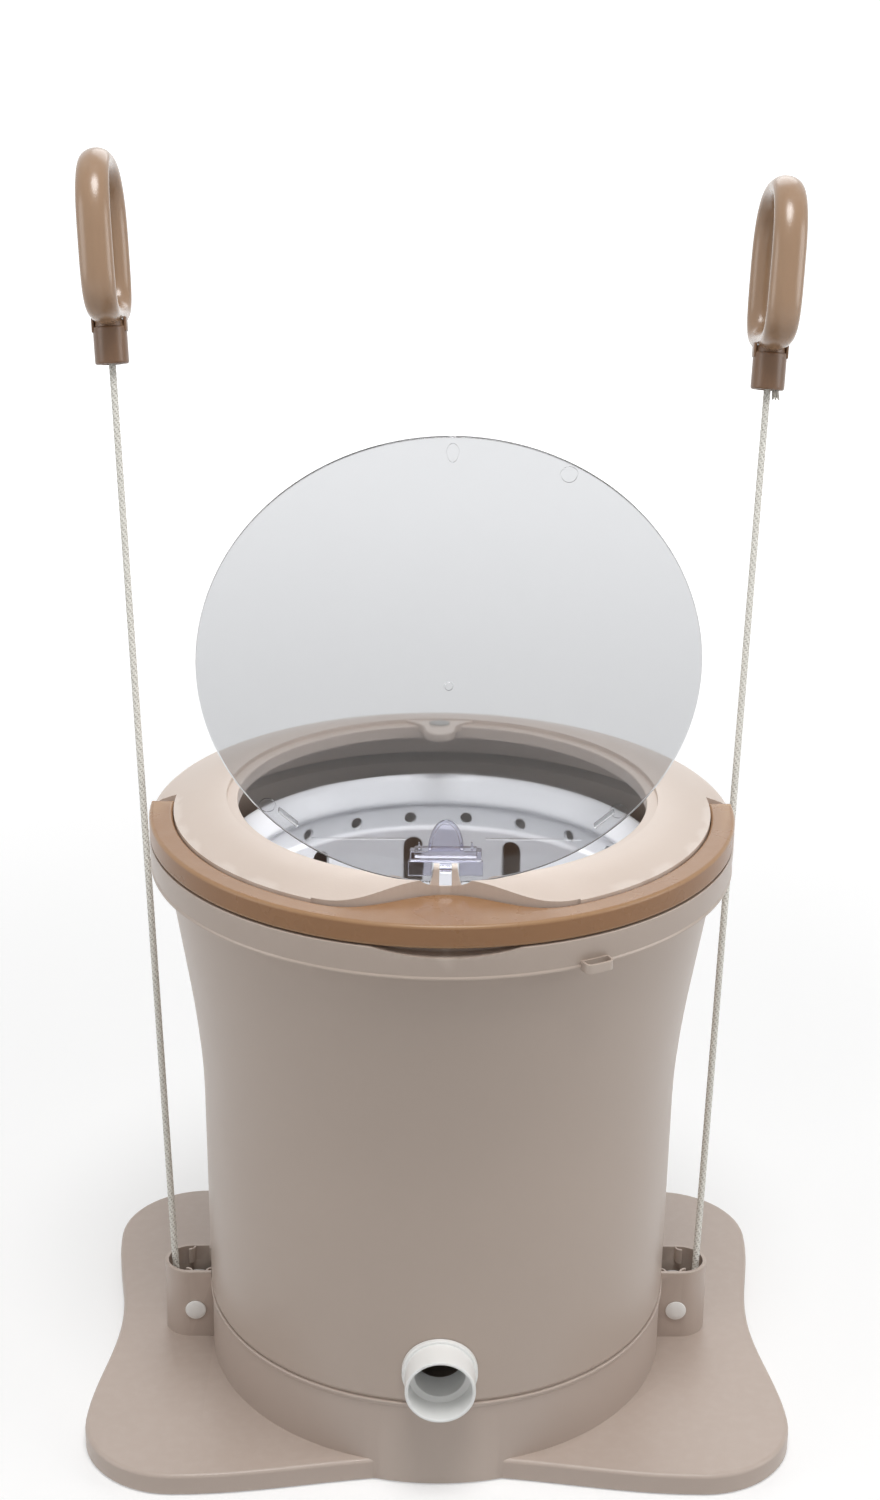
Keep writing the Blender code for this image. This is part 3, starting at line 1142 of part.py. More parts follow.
def inner_rope(side, name, upper, mat):
    """From the roller's outer side under it, then through the window to the spool."""
    reach = rope_line_radius()
    points = []
    quarter = 5
    for i in range(quarter + 1):
        turn = -math.pi / 2 * i / quarter
        points.append(Vector((side * (ROLLER_X + reach * math.cos(turn)), ROPE_IN_TOWER_Y,
                              ROLLER_Z + reach * math.sin(turn))))
    points = [points[0] - Vector((0, 0, ROPE_RADIUS))] + points[1:]
    spool_reach = SPOOL_CORE + GAP + ROPE_RADIUS
    end_z = groove_middle(upper)
    start = points[-1]
    away = math.atan2(start.y, start.x)
    open_angle = math.acos(spool_reach / math.hypot(start.x, start.y))
    spot = away - open_angle
    end = Vector((spool_reach * math.cos(spot), spool_reach * math.sin(spot), end_z))
    winding = SPOOL_CORE + 2 * GAP + 2 * ROPE_RADIUS
    clear_of_winding = math.sqrt(winding ** 2 - (spool_reach - ROPE_RADIUS) ** 2) + GAP
    stop = end + (start - end).normalized() * clear_of_winding
    steps = 8
    for i in range(1, steps + 1):
        share = i / steps
        ease = share * share * (3 - 2 * share)
        spot = start.lerp(stop, share)
        points.append(Vector((spot.x, spot.y, start.z + (stop.z - start.z) * ease)))
    return as_part_curve(tube(name + "_rope_inner", points, ROPE_RADIUS), mat)


def as_part_curve(obj, mat):
    obj.data.materials.append(mat)
    return obj


def grip(side, name, hub, mats):
    frame = grip_frame(side, hub)
    holder = bpy.data.objects.new(name + "_grip_frame", None)
    PARTS.objects.link(holder)
    holder.matrix_world = frame
    body = turned(name + "_grip_hub", [
        (STUD_RADIUS, HUB_HEIGHT + STUD_HEIGHT), (STUD_RADIUS, HUB_HEIGHT), (HUB_RADIUS - HUB_ROUND, HUB_HEIGHT),
        (HUB_RADIUS, HUB_HEIGHT - HUB_ROUND), (HUB_RADIUS, HUB_ROUND), (HUB_RADIUS - HUB_ROUND, 0.0),
        (HUB_MOUTH, 0.0), (HUB_MOUTH, HUB_FLOOR), (HUB_CAVITY, HUB_FLOOR), (HUB_CAVITY, HUB_CAVITY_TOP),
        (ROPE_RADIUS, HUB_CAVITY_TOP), (ROPE_RADIUS, HUB_HEIGHT + STUD_HEIGHT)], SMALL_STEPS)
    body.parent = holder
    as_part(body, mats["hub"])
    knot_z = HUB_FLOOR + GAP + KNOT_RADIUS
    work = bmesh.new()
    bmesh.ops.create_uvsphere(work, u_segments=12, v_segments=8, radius=KNOT_RADIUS,
                              matrix=Matrix.Translation((0, 0, knot_z)))
    knot = from_bmesh(name + "_rope_knot", work)
    knot.parent = holder
    as_part(knot, mats["rope"])
    low = HUB_HEIGHT + GAP + LOOP_BAR
    path = loop_path(low)
    bar = mesh_from(tube(name + "_grip_loop", path, LOOP_BAR, cyclic=True, resolution=2),
                    name + "_grip_loop")
    bar.data.transform(Matrix.Diagonal((LOOP_FLATTEN, 1, 1, 1)))
    hole = rod(name + ".stud_hole", STUD_RADIUS + GAP, (0, 0, HUB_HEIGHT - OVERRUN),
               (0, 0, HUB_HEIGHT + STUD_HEIGHT + GAP), SMALL_STEPS)
    cut(bar, hole)
    hole.parent = holder
    bar.parent = holder
    as_part(bar, mats["grip"])
    mouth = frame @ Vector((0, 0, HUB_FLOOR))
    start = tangent_point(side)
    run = [start.lerp(mouth, i / 6) for i in range(7)]
    as_part_curve(tube(name + "_rope", run, ROPE_RADIUS), mats["rope"])
    if side > 0:
        tail = tube("right_rope_tail", [Vector((TAIL_OFFSET, 0, HUB_FLOOR)),
                                        Vector((TAIL_OFFSET, 0, HUB_FLOOR - TAIL_LENGTH))], TAIL_RADIUS)
        tail.parent = holder
        as_part_curve(tail, mats["rope"])
    return holder


def loop_path(low):
    """Rounded D: a short lower bar, legs that lean out, and a wide upper bar."""
    points = []
    count = 32
    centre = low + LOOP_HEIGHT / 2
    for i in range(count):
        turn = math.tau * i / count - math.pi / 2
        x = math.cos(turn)
        y = math.sin(turn)
        squareness = 1 / max(abs(x), abs(y)) ** 0.25
        points.append(Vector((0.0, LOOP_HALF * x * squareness, centre + LOOP_HEIGHT / 2 * y)))
    return points


def build():
    global PARTS, CUTTERS
    clear_scene()
    PARTS = new_collection("manual_washing_machine")
    CUTTERS = new_collection("cutters")
    cream = material("cream plastic", (0.62, 0.52, 0.45), 0.4)
    taupe = material("taupe plastic", (0.46, 0.37, 0.31), 0.42)
    tan = material("tan plastic", (0.40, 0.24, 0.13), 0.35)
    brown = material("brown plastic", (0.24, 0.14, 0.09), 0.4)
    white = material("white plastic", (0.80, 0.80, 0.79), 0.35)
    clear = material("clear plastic", (0.92, 0.93, 0.95), 0.05, alpha=0.25)
    bluish = material("clear bluish plastic", (0.62, 0.64, 0.80), 0.08, alpha=0.5)
    grey = material("grey plastic", (0.45, 0.45, 0.45), 0.5)
    rubber = material("black rubber", (0.03, 0.03, 0.03), 0.8)
    steel = material("steel", (0.55, 0.55, 0.56), 0.3, metallic=1.0)
    bronze = material("bronze", (0.50, 0.33, 0.15), 0.4, metallic=1.0)
    rope = material("braided rope", (0.72, 0.69, 0.61), 0.85)
    mats = {"spool": white, "steel": steel, "rope": rope, "cap": white, "hub": brown, "grip": tan}
    base_moulding(taupe)
    foot_pads(rubber)
    bottom_cover(taupe)
    screws(steel)
    tub(taupe)
    drain(white, grey, rubber)
    top_ring(cream)
    lid_catch(grey)
    lid(clear, bluish, steel)
    bail(tan, steel)
    basket(white, white, white)
    shaft_and_seals(steel, bronze, rubber)
    carrier(grey)
    for side, name, hub, upper in ((-1, "left", LEFT_HUB, False), (1, "right", RIGHT_HUB, True)):
        spool_set(name, upper, mats)
        roller_set(side, name, mats)
        inner_rope(side, name, upper, rope)
        grip(side, name, hub, mats)
    make_booleans()


build()
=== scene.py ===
import math
import random

import bmesh
import bpy
from mathutils import Matrix, Vector


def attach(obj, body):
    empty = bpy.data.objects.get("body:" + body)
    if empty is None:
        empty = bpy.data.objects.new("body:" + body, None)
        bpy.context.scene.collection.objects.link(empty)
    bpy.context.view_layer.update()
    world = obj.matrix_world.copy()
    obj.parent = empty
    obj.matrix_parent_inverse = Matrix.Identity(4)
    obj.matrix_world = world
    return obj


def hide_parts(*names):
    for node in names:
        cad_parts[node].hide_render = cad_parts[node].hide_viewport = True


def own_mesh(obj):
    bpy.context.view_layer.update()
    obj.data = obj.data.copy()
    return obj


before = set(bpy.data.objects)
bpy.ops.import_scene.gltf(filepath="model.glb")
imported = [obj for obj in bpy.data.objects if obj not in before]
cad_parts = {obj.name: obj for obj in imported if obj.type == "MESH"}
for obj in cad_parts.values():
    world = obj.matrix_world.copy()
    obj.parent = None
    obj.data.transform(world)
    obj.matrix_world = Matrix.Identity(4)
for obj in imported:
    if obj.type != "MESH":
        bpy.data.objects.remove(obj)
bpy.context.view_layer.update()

random.seed(11)
mm = 0.001
gap = 0.0003

# ---- camera first, at the photograph's height and distance
cameraView = {
    "place": (-0.0226, -1.1783, 0.8020),
    "heading": -0.018,
    "tilt": math.radians(69.26),
    "roll": 0.012,
    "lens": 59.2,
    "shiftY": 0.0026,
}


def makeCamera():
    data = bpy.data.cameras.new("photoCamera")
    data.lens = cameraView["lens"]
    data.shift_y = cameraView["shiftY"]
    data.clip_start = 0.05
    data.clip_end = 30
    camera = bpy.data.objects.new("photoCamera", data)
    bpy.context.scene.collection.objects.link(camera)
    turn = Matrix.Rotation(cameraView["heading"], 4, "Z") @ Matrix.Rotation(cameraView["tilt"], 4, "X")
    turn = turn @ Matrix.Rotation(cameraView["roll"], 4, "Z")
    camera.matrix_world = Matrix.Translation(cameraView["place"]) @ turn
    bpy.context.scene.camera = camera


makeCamera()
print("camera set")


# ---- small tools that every piece below uses
def newPiece(name, work):
    mesh = bpy.data.meshes.new(name)
    bmesh.ops.recalc_face_normals(work, faces=work.faces)
    work.to_mesh(mesh)
    work.free()
    piece = bpy.data.objects.new(name, mesh)
    bpy.context.scene.collection.objects.link(piece)
    return piece


def softened(points, closed=True, steps=4):
    # corners given as (r, z, size) turn into short curves of that size
    out = []
    count = len(points)
    for i, point in enumerate(points):
        here = Vector(point[:2])
        size = point[2] if len(point) > 2 else 0.0
        if size <= 0 or (not closed and i in (0, count - 1)):
            out.append((here.x, here.y))
            continue
        back = Vector(points[i - 1][:2]) - here
        ahead = Vector(points[(i + 1) % count][:2]) - here
        reach = min(size, back.length * 0.48, ahead.length * 0.48)
        first = here + back.normalized() * reach
        last = here + ahead.normalized() * reach
        for k in range(steps + 1):
            t = k / steps
            spot = first * (1 - t) ** 2 + here * 2 * t * (1 - t) + last * t * t
            out.append((spot.x, spot.y))
    return out


def lathe(name, profile, steps=160, closed=True):
    # profile in (radius, height) turned round Z; a radius of zero closes to one point
    work = bmesh.new()
    rings = []
    for radius, height in profile:
        if radius < 1e-7:
            rings.append([work.verts.new((0, 0, height))])
        else:
            rings.append([work.verts.new((radius * math.cos(math.tau * i / steps),
                                          radius * math.sin(math.tau * i / steps), height))
                          for i in range(steps)])
    pairs = list(zip(rings, rings[1:]))
    if closed:
        pairs.append((rings[-1], rings[0]))
    for upper, lower in pairs:
        for i in range(steps):
            j = (i + 1) % steps
            corners = [upper[i % len(upper)], upper[j % len(upper)], lower[j % len(lower)], lower[i % len(lower)]]
            corners = list(dict.fromkeys(corners))
            if len(corners) > 2:
                work.faces.new(corners)
    return newPiece(name, work)


def loft(name, loops, ringed=False, caps=True):
    # loops of equal length joined one after another
    work = bmesh.new()
    rows = [[work.verts.new(point) for point in loop] for loop in loops]
    pairs = list(zip(rows, rows[1:]))
    if ringed:
        pairs.append((rows[-1], rows[0]))
    count = len(rows[0])
    for near, far in pairs:
        for i in range(count):
            j = (i + 1) % count
            work.faces.new((near[i], near[j], far[j], far[i]))
    if caps and not ringed:
        work.faces.new(rows[0][::-1])
        work.faces.new(rows[-1])
    return newPiece(name, work)


def plateLoft(name, outline, levels):
    # outline(inset) gives x, y points; levels are (inset, z) from one face to the other
    return loft(name, [[(x, y, z) for x, y in outline(inset)] for inset, z in levels])


def slab(name, outline, low, high, edge=0.0, edgeSteps=3):
    work = bmesh.new()
    bottom = [work.verts.new((x, y, low)) for x, y in outline]
    top = [work.verts.new((x, y, high)) for x, y in outline]
    count = len(outline)
    for i in range(count):
        j = (i + 1) % count
        work.faces.new((bottom[i], bottom[j], top[j], top[i]))
    work.faces.new(bottom[::-1])
    work.faces.new(top)
    piece = newPiece(name, work)
    if edge:
        roundEdges(piece, edge, edgeSteps)
    return piece


def box(name, low, high, edge=0.0):
    corners = [(low[0], low[1]), (high[0], low[1]), (high[0], high[1]), (low[0], high[1])]
    return slab(name, corners, low[2], high[2], edge)


def rod(name, radius, start, end, steps=40, endRadius=None, edge=0.0):
    start, end = Vector(start), Vector(end)
    length = (end - start).length
    last = radius if endRadius is None else endRadius
    profile = [(0, 0), (radius, 0, edge), (last, length, edge), (0, length)]
    piece = lathe(name, softened(profile, closed=False), steps, closed=False)
    turn = (end - start).to_track_quat("Z", "Y").to_matrix().to_4x4()
    piece.data.transform(Matrix.Translation(start) @ turn)
    return piece


def applied(piece):
    # puts the modifiers into the mesh
    bpy.context.view_layer.update()
    graph = bpy.context.evaluated_depsgraph_get()
    mesh = bpy.data.meshes.new_from_object(piece.evaluated_get(graph))
    piece.modifiers.clear()
    piece.data = mesh
    return piece


def roundEdges(piece, width, steps=3, angle=35):
    bevel = piece.modifiers.new("round", "BEVEL")
    bevel.width = width
    bevel.segments = steps
    bevel.limit_method = "ANGLE"
    bevel.angle_limit = math.radians(angle)
    return applied(piece)


def combine(piece, tools, how="DIFFERENCE"):
    for tool in tools:
        change = piece.modifiers.new("combine", "BOOLEAN")
        change.operation = how
        change.object = tool
        change.solver = "EXACT"
    applied(piece)
    for tool in tools:
        bpy.data.objects.remove(tool, do_unlink=True)
    return piece


def cutAway(piece, *tools):
    return combine(piece, tools, "DIFFERENCE")


def joinOn(piece, *tools):
    return combine(piece, tools, "UNION")


def together(name, pieces):
    # several separate shells in one mesh, for cutters and rows of small marks
    work = bmesh.new()
    for piece in pieces:
        piece.data.transform(piece.matrix_basis)
        work.from_mesh(piece.data)
        bpy.data.objects.remove(piece, do_unlink=True)
    return newPiece(name, work)


def sweep(name, path, section, closed=False, twist=0.0, uv=False, startSide=(0, 1, 0)):
    # section: list of (u, v), or a function of the share along the path that gives one
    path = [Vector(point) for point in path]
    count = len(path)
    side = Vector(startSide)
    loops, lengths, run = [], [], 0.0
    for i, point in enumerate(path):
        if closed:
            ahead = path[(i + 1) % count] - path[i - 1]
        else:
            ahead = path[min(i + 1, count - 1)] - path[max(i - 1, 0)]
        ahead.normalize()
        side = (side - ahead * side.dot(ahead)).normalized()
        other = ahead.cross(side)
        share = i / (count - 1)
        shape = section(share) if callable(section) else section
        spin = twist * run
        if i:
            run += (path[i] - path[i - 1]).length
            spin = twist * run
        c, s = math.cos(spin), math.sin(spin)
        loops.append([point + side * (u * c - v * s) + other * (u * s + v * c) for u, v in shape])
        lengths.append(run)
    piece = loft(name, loops, ringed=closed)
    if uv:
        layer = piece.data.uv_layers.new(name="along")
        width = len(loops[0])
        for face in piece.data.polygons:
            corners = [piece.data.loops[k].vertex_index for k in face.loop_indices]
            wraps = len(corners) == 4 and max(c % width for c in corners) - min(c % width for c in corners) > 1
            for k, vertex in zip(face.loop_indices, corners):
                step = vertex % width
                if wraps and step == 0:
                    step = width
                layer.data[k].uv = (step / width, lengths[vertex // width])
    return piece


def place(piece, body, material, nodes=(), slot=None, angle=38, level=False):
    piece.data.materials.clear()
    piece.data.materials.append(material)
    if slot == "clear_plastic":
        piece.visible_shadow = False    # light passes the clear plastic
    piece.data.shade_smooth()
    piece.data.set_sharp_from_angle(angle=math.radians(angle))
    if level:                                           # large flat faces keep their own normals
        weighted = piece.modifiers.new("level", "WEIGHTED_NORMAL")
        weighted.keep_sharp = True
        weighted.weight = 100
        applied(piece)
    if material in (mats["clear"], mats["bluish"]):
        piece.visible_shadow = False                    # lamps shine through
    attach(piece, body)
    if nodes:
        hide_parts(*nodes)
    return piece


# ---- materials: shared effects are node groups, the shader stays in each material
def tint(code):
    # colour as read off a screen, made linear
    parts = [int(code[i:i + 2], 16) / 255 for i in (1, 3, 5)]
    return tuple(c / 12.92 if c <= 0.04045 else ((c + 0.055) / 1.055) ** 2.4 for c in parts) + (1.0,)


def newGroup(name, inputs, outputs):
    group = bpy.data.node_groups.new(name, "ShaderNodeTree")
    for label, kind, value in inputs:
        socket = group.interface.new_socket(name=label, in_out="INPUT", socket_type=kind)
        if value is not None:
            socket.default_value = value
    for label, kind in outputs:
        group.interface.new_socket(name=label, in_out="OUTPUT", socket_type=kind)
    return group, group.nodes.new("NodeGroupInput"), group.nodes.new("NodeGroupOutput")


def addNode(tree, kind, links=None, **settings):
    node = tree.nodes.new(kind)
    for key, value in settings.items():
        if hasattr(node, key):
            setattr(node, key, value)
    for socket, value in (links or {}).items():
        target = node.inputs[socket]
        if isinstance(value, bpy.types.NodeSocket):
            tree.links.new(value, target)
        else:
            target.default_value = value
    return node


def makeMouldedGroup():
    # fine skin of moulded plastic: cloudy shade, sheen patches and a pebbled height
    group, entry, leave = newGroup("mouldedSkin", [
        ("Colour", "NodeSocketColor", None), ("Cloud", "NodeSocketFloat", 0.05), ("Pebble", "NodeSocketFloat", 900.0),
        ("Roughness", "NodeSocketFloat", 0.4), ("Patchiness", "NodeSocketFloat", 0.08)],
        [("Colour", "NodeSocketColor"), ("Roughness", "NodeSocketFloat"), ("Height", "NodeSocketFloat")])
    spot = addNode(group, "ShaderNodeTexCoord")
    cloud = addNode(group, "ShaderNodeTexNoise", {"Vector": spot.outputs["Object"], "Scale": 14.0, "Detail": 3.0})
    centred = addNode(group, "ShaderNodeMath", {0: cloud.outputs["Fac"], 1: 0.5}, operation="SUBTRACT")
    shade = addNode(group, "ShaderNodeMath", {0: centred.outputs[0], 1: entry.outputs["Cloud"], 2: 1.0},
                    operation="MULTIPLY_ADD")
    tinted = addNode(group, "ShaderNodeVectorMath", {0: entry.outputs["Colour"]}, operation="SCALE")
    group.links.new(shade.outputs[0], tinted.inputs["Scale"])
    patch = addNode(group, "ShaderNodeTexNoise", {"Vector": spot.outputs["Object"], "Scale": 45.0, "Detail": 4.0})
    patchy = addNode(group, "ShaderNodeMath", {0: patch.outputs["Fac"], 1: 0.5}, operation="SUBTRACT")
    rough = addNode(group, "ShaderNodeMath", {0: patchy.outputs[0], 1: entry.outputs["Patchiness"],
                                              2: entry.outputs["Roughness"]}, operation="MULTIPLY_ADD")
    pebble = addNode(group, "ShaderNodeTexNoise", {"Vector": spot.outputs["Object"], "Scale": entry.outputs["Pebble"],
                                                   "Detail": 2.0})
    group.links.new(tinted.outputs[0], leave.inputs["Colour"])
    group.links.new(rough.outputs[0], leave.inputs["Roughness"])
    group.links.new(pebble.outputs["Fac"], leave.inputs["Height"])
    return group


def makeEdgeGroup():
    # rubbed edges go paler, which on the bail's tan paints a highlight line along its rounded edges; hollows go a
    # little darker
    group, entry, leave = newGroup("edgeWearAndHighlight", [
        ("Colour", "NodeSocketColor", None), ("Edge Colour", "NodeSocketColor", None), ("Wear And Highlight", "NodeSocketFloat", 0.3),
        ("Hollow Darkening", "NodeSocketFloat", 0.2)], [("Colour", "NodeSocketColor"), ("Mask", "NodeSocketFloat")])
    shape = addNode(group, "ShaderNodeNewGeometry")
    # paler edges: rubbed wear, and on the bail's tan a painted highlight line
    edge = addNode(group, "ShaderNodeMapRange", {"Value": shape.outputs["Pointiness"], "From Min": 0.52,
                                                 "From Max": 0.62})
    wornAndHighlit = addNode(group, "ShaderNodeMath", {0: edge.outputs[0], 1: entry.outputs["Wear And Highlight"]}, operation="MULTIPLY")
    first = addNode(group, "ShaderNodeMix", {"Factor": wornAndHighlit.outputs[0]}, data_type="RGBA")
    group.links.new(entry.outputs["Colour"], first.inputs[6])
    group.links.new(entry.outputs["Edge Colour"], first.inputs[7])
    # hollows go darker, mixed toward a dark brown
    hollow = addNode(group, "ShaderNodeMapRange", {"Value": shape.outputs["Pointiness"], "From Min": 0.48,
                                                   "From Max": 0.40})
    hollowDarkened = addNode(group, "ShaderNodeMath", {0: hollow.outputs[0], 1: entry.outputs["Hollow Darkening"]}, operation="MULTIPLY")
    second = addNode(group, "ShaderNodeMix", {"Factor": hollowDarkened.outputs[0]}, data_type="RGBA")
    group.links.new(first.outputs[2], second.inputs[6])
    second.inputs[7].default_value = tint("#5A4A40")
    group.links.new(second.outputs[2], leave.inputs["Colour"])
    group.links.new(wornAndHighlit.outputs[0], leave.inputs["Mask"])
    return group


def makeDustGroup():
    # a thin film that settles on what faces up
    group, entry, leave = newGroup("settledDust", [
        ("Colour", "NodeSocketColor", None), ("Dust Colour", "NodeSocketColor", None), ("Amount", "NodeSocketFloat", 0.1)],
        [("Colour", "NodeSocketColor"), ("Mask", "NodeSocketFloat")])
    shape = addNode(group, "ShaderNodeNewGeometry")
    split = addNode(group, "ShaderNodeSeparateXYZ", {0: shape.outputs["Normal"]})
    up = addNode(group, "ShaderNodeMapRange", {"Value": split.outputs["Z"], "From Min": 0.5, "From Max": 1.0})
    spot = addNode(group, "ShaderNodeTexCoord")
    speck = addNode(group, "ShaderNodeTexNoise", {"Vector": spot.outputs["Object"], "Scale": 160.0, "Detail": 5.0})
    fine = addNode(group, "ShaderNodeMapRange", {"Value": speck.outputs["Fac"], "From Min": 0.42, "From Max": 0.7})
    both = addNode(group, "ShaderNodeMath", {0: up.outputs[0], 1: fine.outputs[0]}, operation="MULTIPLY")
    amount = addNode(group, "ShaderNodeMath", {0: both.outputs[0], 1: entry.outputs["Amount"]}, operation="MULTIPLY")
    mixed = addNode(group, "ShaderNodeMix", {"Factor": amount.outputs[0]}, data_type="RGBA")
    group.links.new(entry.outputs["Colour"], mixed.inputs[6])
    group.links.new(entry.outputs["Dust Colour"], mixed.inputs[7])
    group.links.new(mixed.outputs[2], leave.inputs["Colour"])
    group.links.new(amount.outputs[0], leave.inputs["Mask"])
    return group


def makeBraidGroup():
    # two sets of slanting strands from the rope's own length and girth; the grooves between strands get a darker
    # colour, a painted shade
    group, entry, leave = newGroup("braid", [
        ("Colour", "NodeSocketColor", None), ("Groove Shade Colour", "NodeSocketColor", None), ("Pitch", "NodeSocketFloat", 420.0),
        ("Strands", "NodeSocketFloat", 4.0)],
        [("Colour", "NodeSocketColor"), ("Height", "NodeSocketFloat")])
    chart = addNode(group, "ShaderNodeUVMap", uv_map="along")
    split = addNode(group, "ShaderNodeSeparateXYZ", {0: chart.outputs[0]})
    girth = addNode(group, "ShaderNodeMath", {0: split.outputs["X"], 1: entry.outputs["Strands"]}, operation="MULTIPLY")
    reach = addNode(group, "ShaderNodeMath", {0: split.outputs["Y"], 1: entry.outputs["Pitch"]}, operation="MULTIPLY")
    waves = []
    for how in ("ADD", "SUBTRACT"):
        mixed = addNode(group, "ShaderNodeMath", {0: girth.outputs[0], 1: reach.outputs[0]}, operation=how)
        turn = addNode(group, "ShaderNodeMath", {0: mixed.outputs[0], 1: math.tau}, operation="MULTIPLY")
        waves.append(addNode(group, "ShaderNodeMath", {0: turn.outputs[0]}, operation="SINE"))
    top = addNode(group, "ShaderNodeMath", {0: waves[0].outputs[0], 1: waves[1].outputs[0]}, operation="MAXIMUM")
    height = addNode(group, "ShaderNodeMapRange", {"Value": top.outputs[0], "From Min": -1.0, "From Max": 1.0})
    # painted shade: darker colour in the grooves between strands
    mixed = addNode(group, "ShaderNodeMix", {"Factor": height.outputs[0]}, data_type="RGBA")
    group.links.new(entry.outputs["Groove Shade Colour"], mixed.inputs[6])
    group.links.new(entry.outputs["Colour"], mixed.inputs[7])
    group.links.new(mixed.outputs[2], leave.inputs["Colour"])
    group.links.new(height.outputs[0], leave.inputs["Height"])
    return group


groups = {"skin": makeMouldedGroup(), "edges": makeEdgeGroup(), "dust": makeDustGroup(), "braid": makeBraidGroup()}


def useGroup(tree, name, values):
    node = tree.nodes.new("ShaderNodeGroup")
    node.node_tree = groups[name]
    for socket, value in values.items():
        if isinstance(value, bpy.types.NodeSocket):
            tree.links.new(value, node.inputs[socket])
        else:
            node.inputs[socket].default_value = value
    return node


def newMaterial(name):
    made = bpy.data.materials.new(name)
    made.use_nodes = True
    return made, made.node_tree, made.node_tree.nodes["Principled BSDF"]


def mouldedPlastic(name, colour, edgeColour, roughness=0.4, wearAndHighlight=0.3, hollowDarkening=0.2, dust=0.06, cloud=0.05, pebble=900.0,
                   bump=0.00004, coat=0.0, specular=0.5, scatter=0.0):
    made, tree, shader = newMaterial(name)
    edges = useGroup(tree, "edges", {"Colour": tint(colour), "Edge Colour": tint(edgeColour), "Wear And Highlight": wearAndHighlight, "Hollow Darkening": hollowDarkening})
    dusty = useGroup(tree, "dust", {"Colour": edges.outputs["Colour"], "Dust Colour": tint("#D9D2CA"), "Amount": dust})
    skin = useGroup(tree, "skin", {"Colour": dusty.outputs["Colour"], "Cloud": cloud, "Pebble": pebble,
                                   "Roughness": roughness})
    bumpNode = addNode(tree, "ShaderNodeBump", {"Height": skin.outputs["Height"], "Distance": bump, "Strength": 1.0})
    tree.links.new(skin.outputs["Colour"], shader.inputs["Base Color"])
    tree.links.new(skin.outputs["Roughness"], shader.inputs["Roughness"])
    tree.links.new(bumpNode.outputs[0], shader.inputs["Normal"])
    shader.inputs["Specular IOR Level"].default_value = specular
    shader.inputs["Coat Weight"].default_value = coat
    shader.inputs["Coat Roughness"].default_value = 0.25
    if scatter:
        shader.inputs["Subsurface Weight"].default_value = scatter
        shader.inputs["Subsurface Scale"].default_value = 0.005
    return made


def clearPlastic(name, colour, roughness=0.02, ior=1.5):
    made, tree, shader = newMaterial(name)
    spot = addNode(tree, "ShaderNodeTexCoord")
    haze = addNode(tree, "ShaderNodeTexNoise", {"Vector": spot.outputs["Object"], "Scale": 30.0, "Detail": 5.0})
    level = addNode(tree, "ShaderNodeMapRange", {"Value": haze.outputs["Fac"], "From Min": 0.35, "From Max": 0.75,
                                                 "To Min": roughness, "To Max": roughness * 3})
    ripple = addNode(tree, "ShaderNodeTexNoise", {"Vector": spot.outputs["Object"], "Scale": 9.0, "Detail": 1.0})
    bumpNode = addNode(tree, "ShaderNodeBump", {"Height": ripple.outputs["Fac"], "Distance": 0.00004, "Strength": 0.3})
    shader.inputs["Base Color"].default_value = tint(colour)
    shader.inputs["Transmission Weight"].default_value = 1.0
    shader.inputs["IOR"].default_value = ior
    tree.links.new(level.outputs[0], shader.inputs["Roughness"])
    tree.links.new(bumpNode.outputs[0], shader.inputs["Normal"])
    return made


def wornMetal(name, colour, roughness, scratch=400.0):
    made, tree, shader = newMaterial(name)
    spot = addNode(tree, "ShaderNodeTexCoord")
    stretch = addNode(tree, "ShaderNodeMapping", {"Vector": spot.outputs["Object"], "Scale": (1.0, 1.0, 12.0)})
    lines = addNode(tree, "ShaderNodeTexNoise", {"Vector": stretch.outputs[0], "Scale": scratch, "Detail": 3.0})
    level = addNode(tree, "ShaderNodeMapRange", {"Value": lines.outputs["Fac"], "To Min": roughness * 0.7,
                                                 "To Max": roughness * 1.5})
    edges = useGroup(tree, "edges", {"Colour": tint(colour), "Edge Colour": tint("#E8E8E8"), "Wear And Highlight": 0.5, "Hollow Darkening": 0.4})
    bumpNode = addNode(tree, "ShaderNodeBump", {"Height": lines.outputs["Fac"], "Distance": 0.00002})
    tree.links.new(edges.outputs["Colour"], shader.inputs["Base Color"])
    tree.links.new(level.outputs[0], shader.inputs["Roughness"])
    tree.links.new(bumpNode.outputs[0], shader.inputs["Normal"])
    shader.inputs["Metallic"].default_value = 1.0
    return made


def braidedRope(name, colour, groove, pitch=420.0, strands=4.0):
    made, tree, shader = newMaterial(name)
    braid = useGroup(tree, "braid", {"Colour": tint(colour), "Groove Shade Colour": tint(groove), "Pitch": pitch,
                                     "Strands": strands})
    skin = useGroup(tree, "skin", {"Colour": braid.outputs["Colour"], "Cloud": 0.12, "Pebble": 2600.0,
                                   "Roughness": 0.85})
    fine = addNode(tree, "ShaderNodeBump", {"Height": skin.outputs["Height"], "Distance": 0.00008})
    bumpNode = addNode(tree, "ShaderNodeBump", {"Height": braid.outputs["Height"], "Distance": 0.00035,
                                                "Normal": fine.outputs[0]})
    tree.links.new(skin.outputs["Colour"], shader.inputs["Base Color"])
    tree.links.new(skin.outputs["Roughness"], shader.inputs["Roughness"])
    tree.links.new(bumpNode.outputs[0], shader.inputs["Normal"])
    shader.inputs["Sheen Weight"].default_value = 0.3
    shader.inputs["Sheen Roughness"].default_value = 0.4
    return made


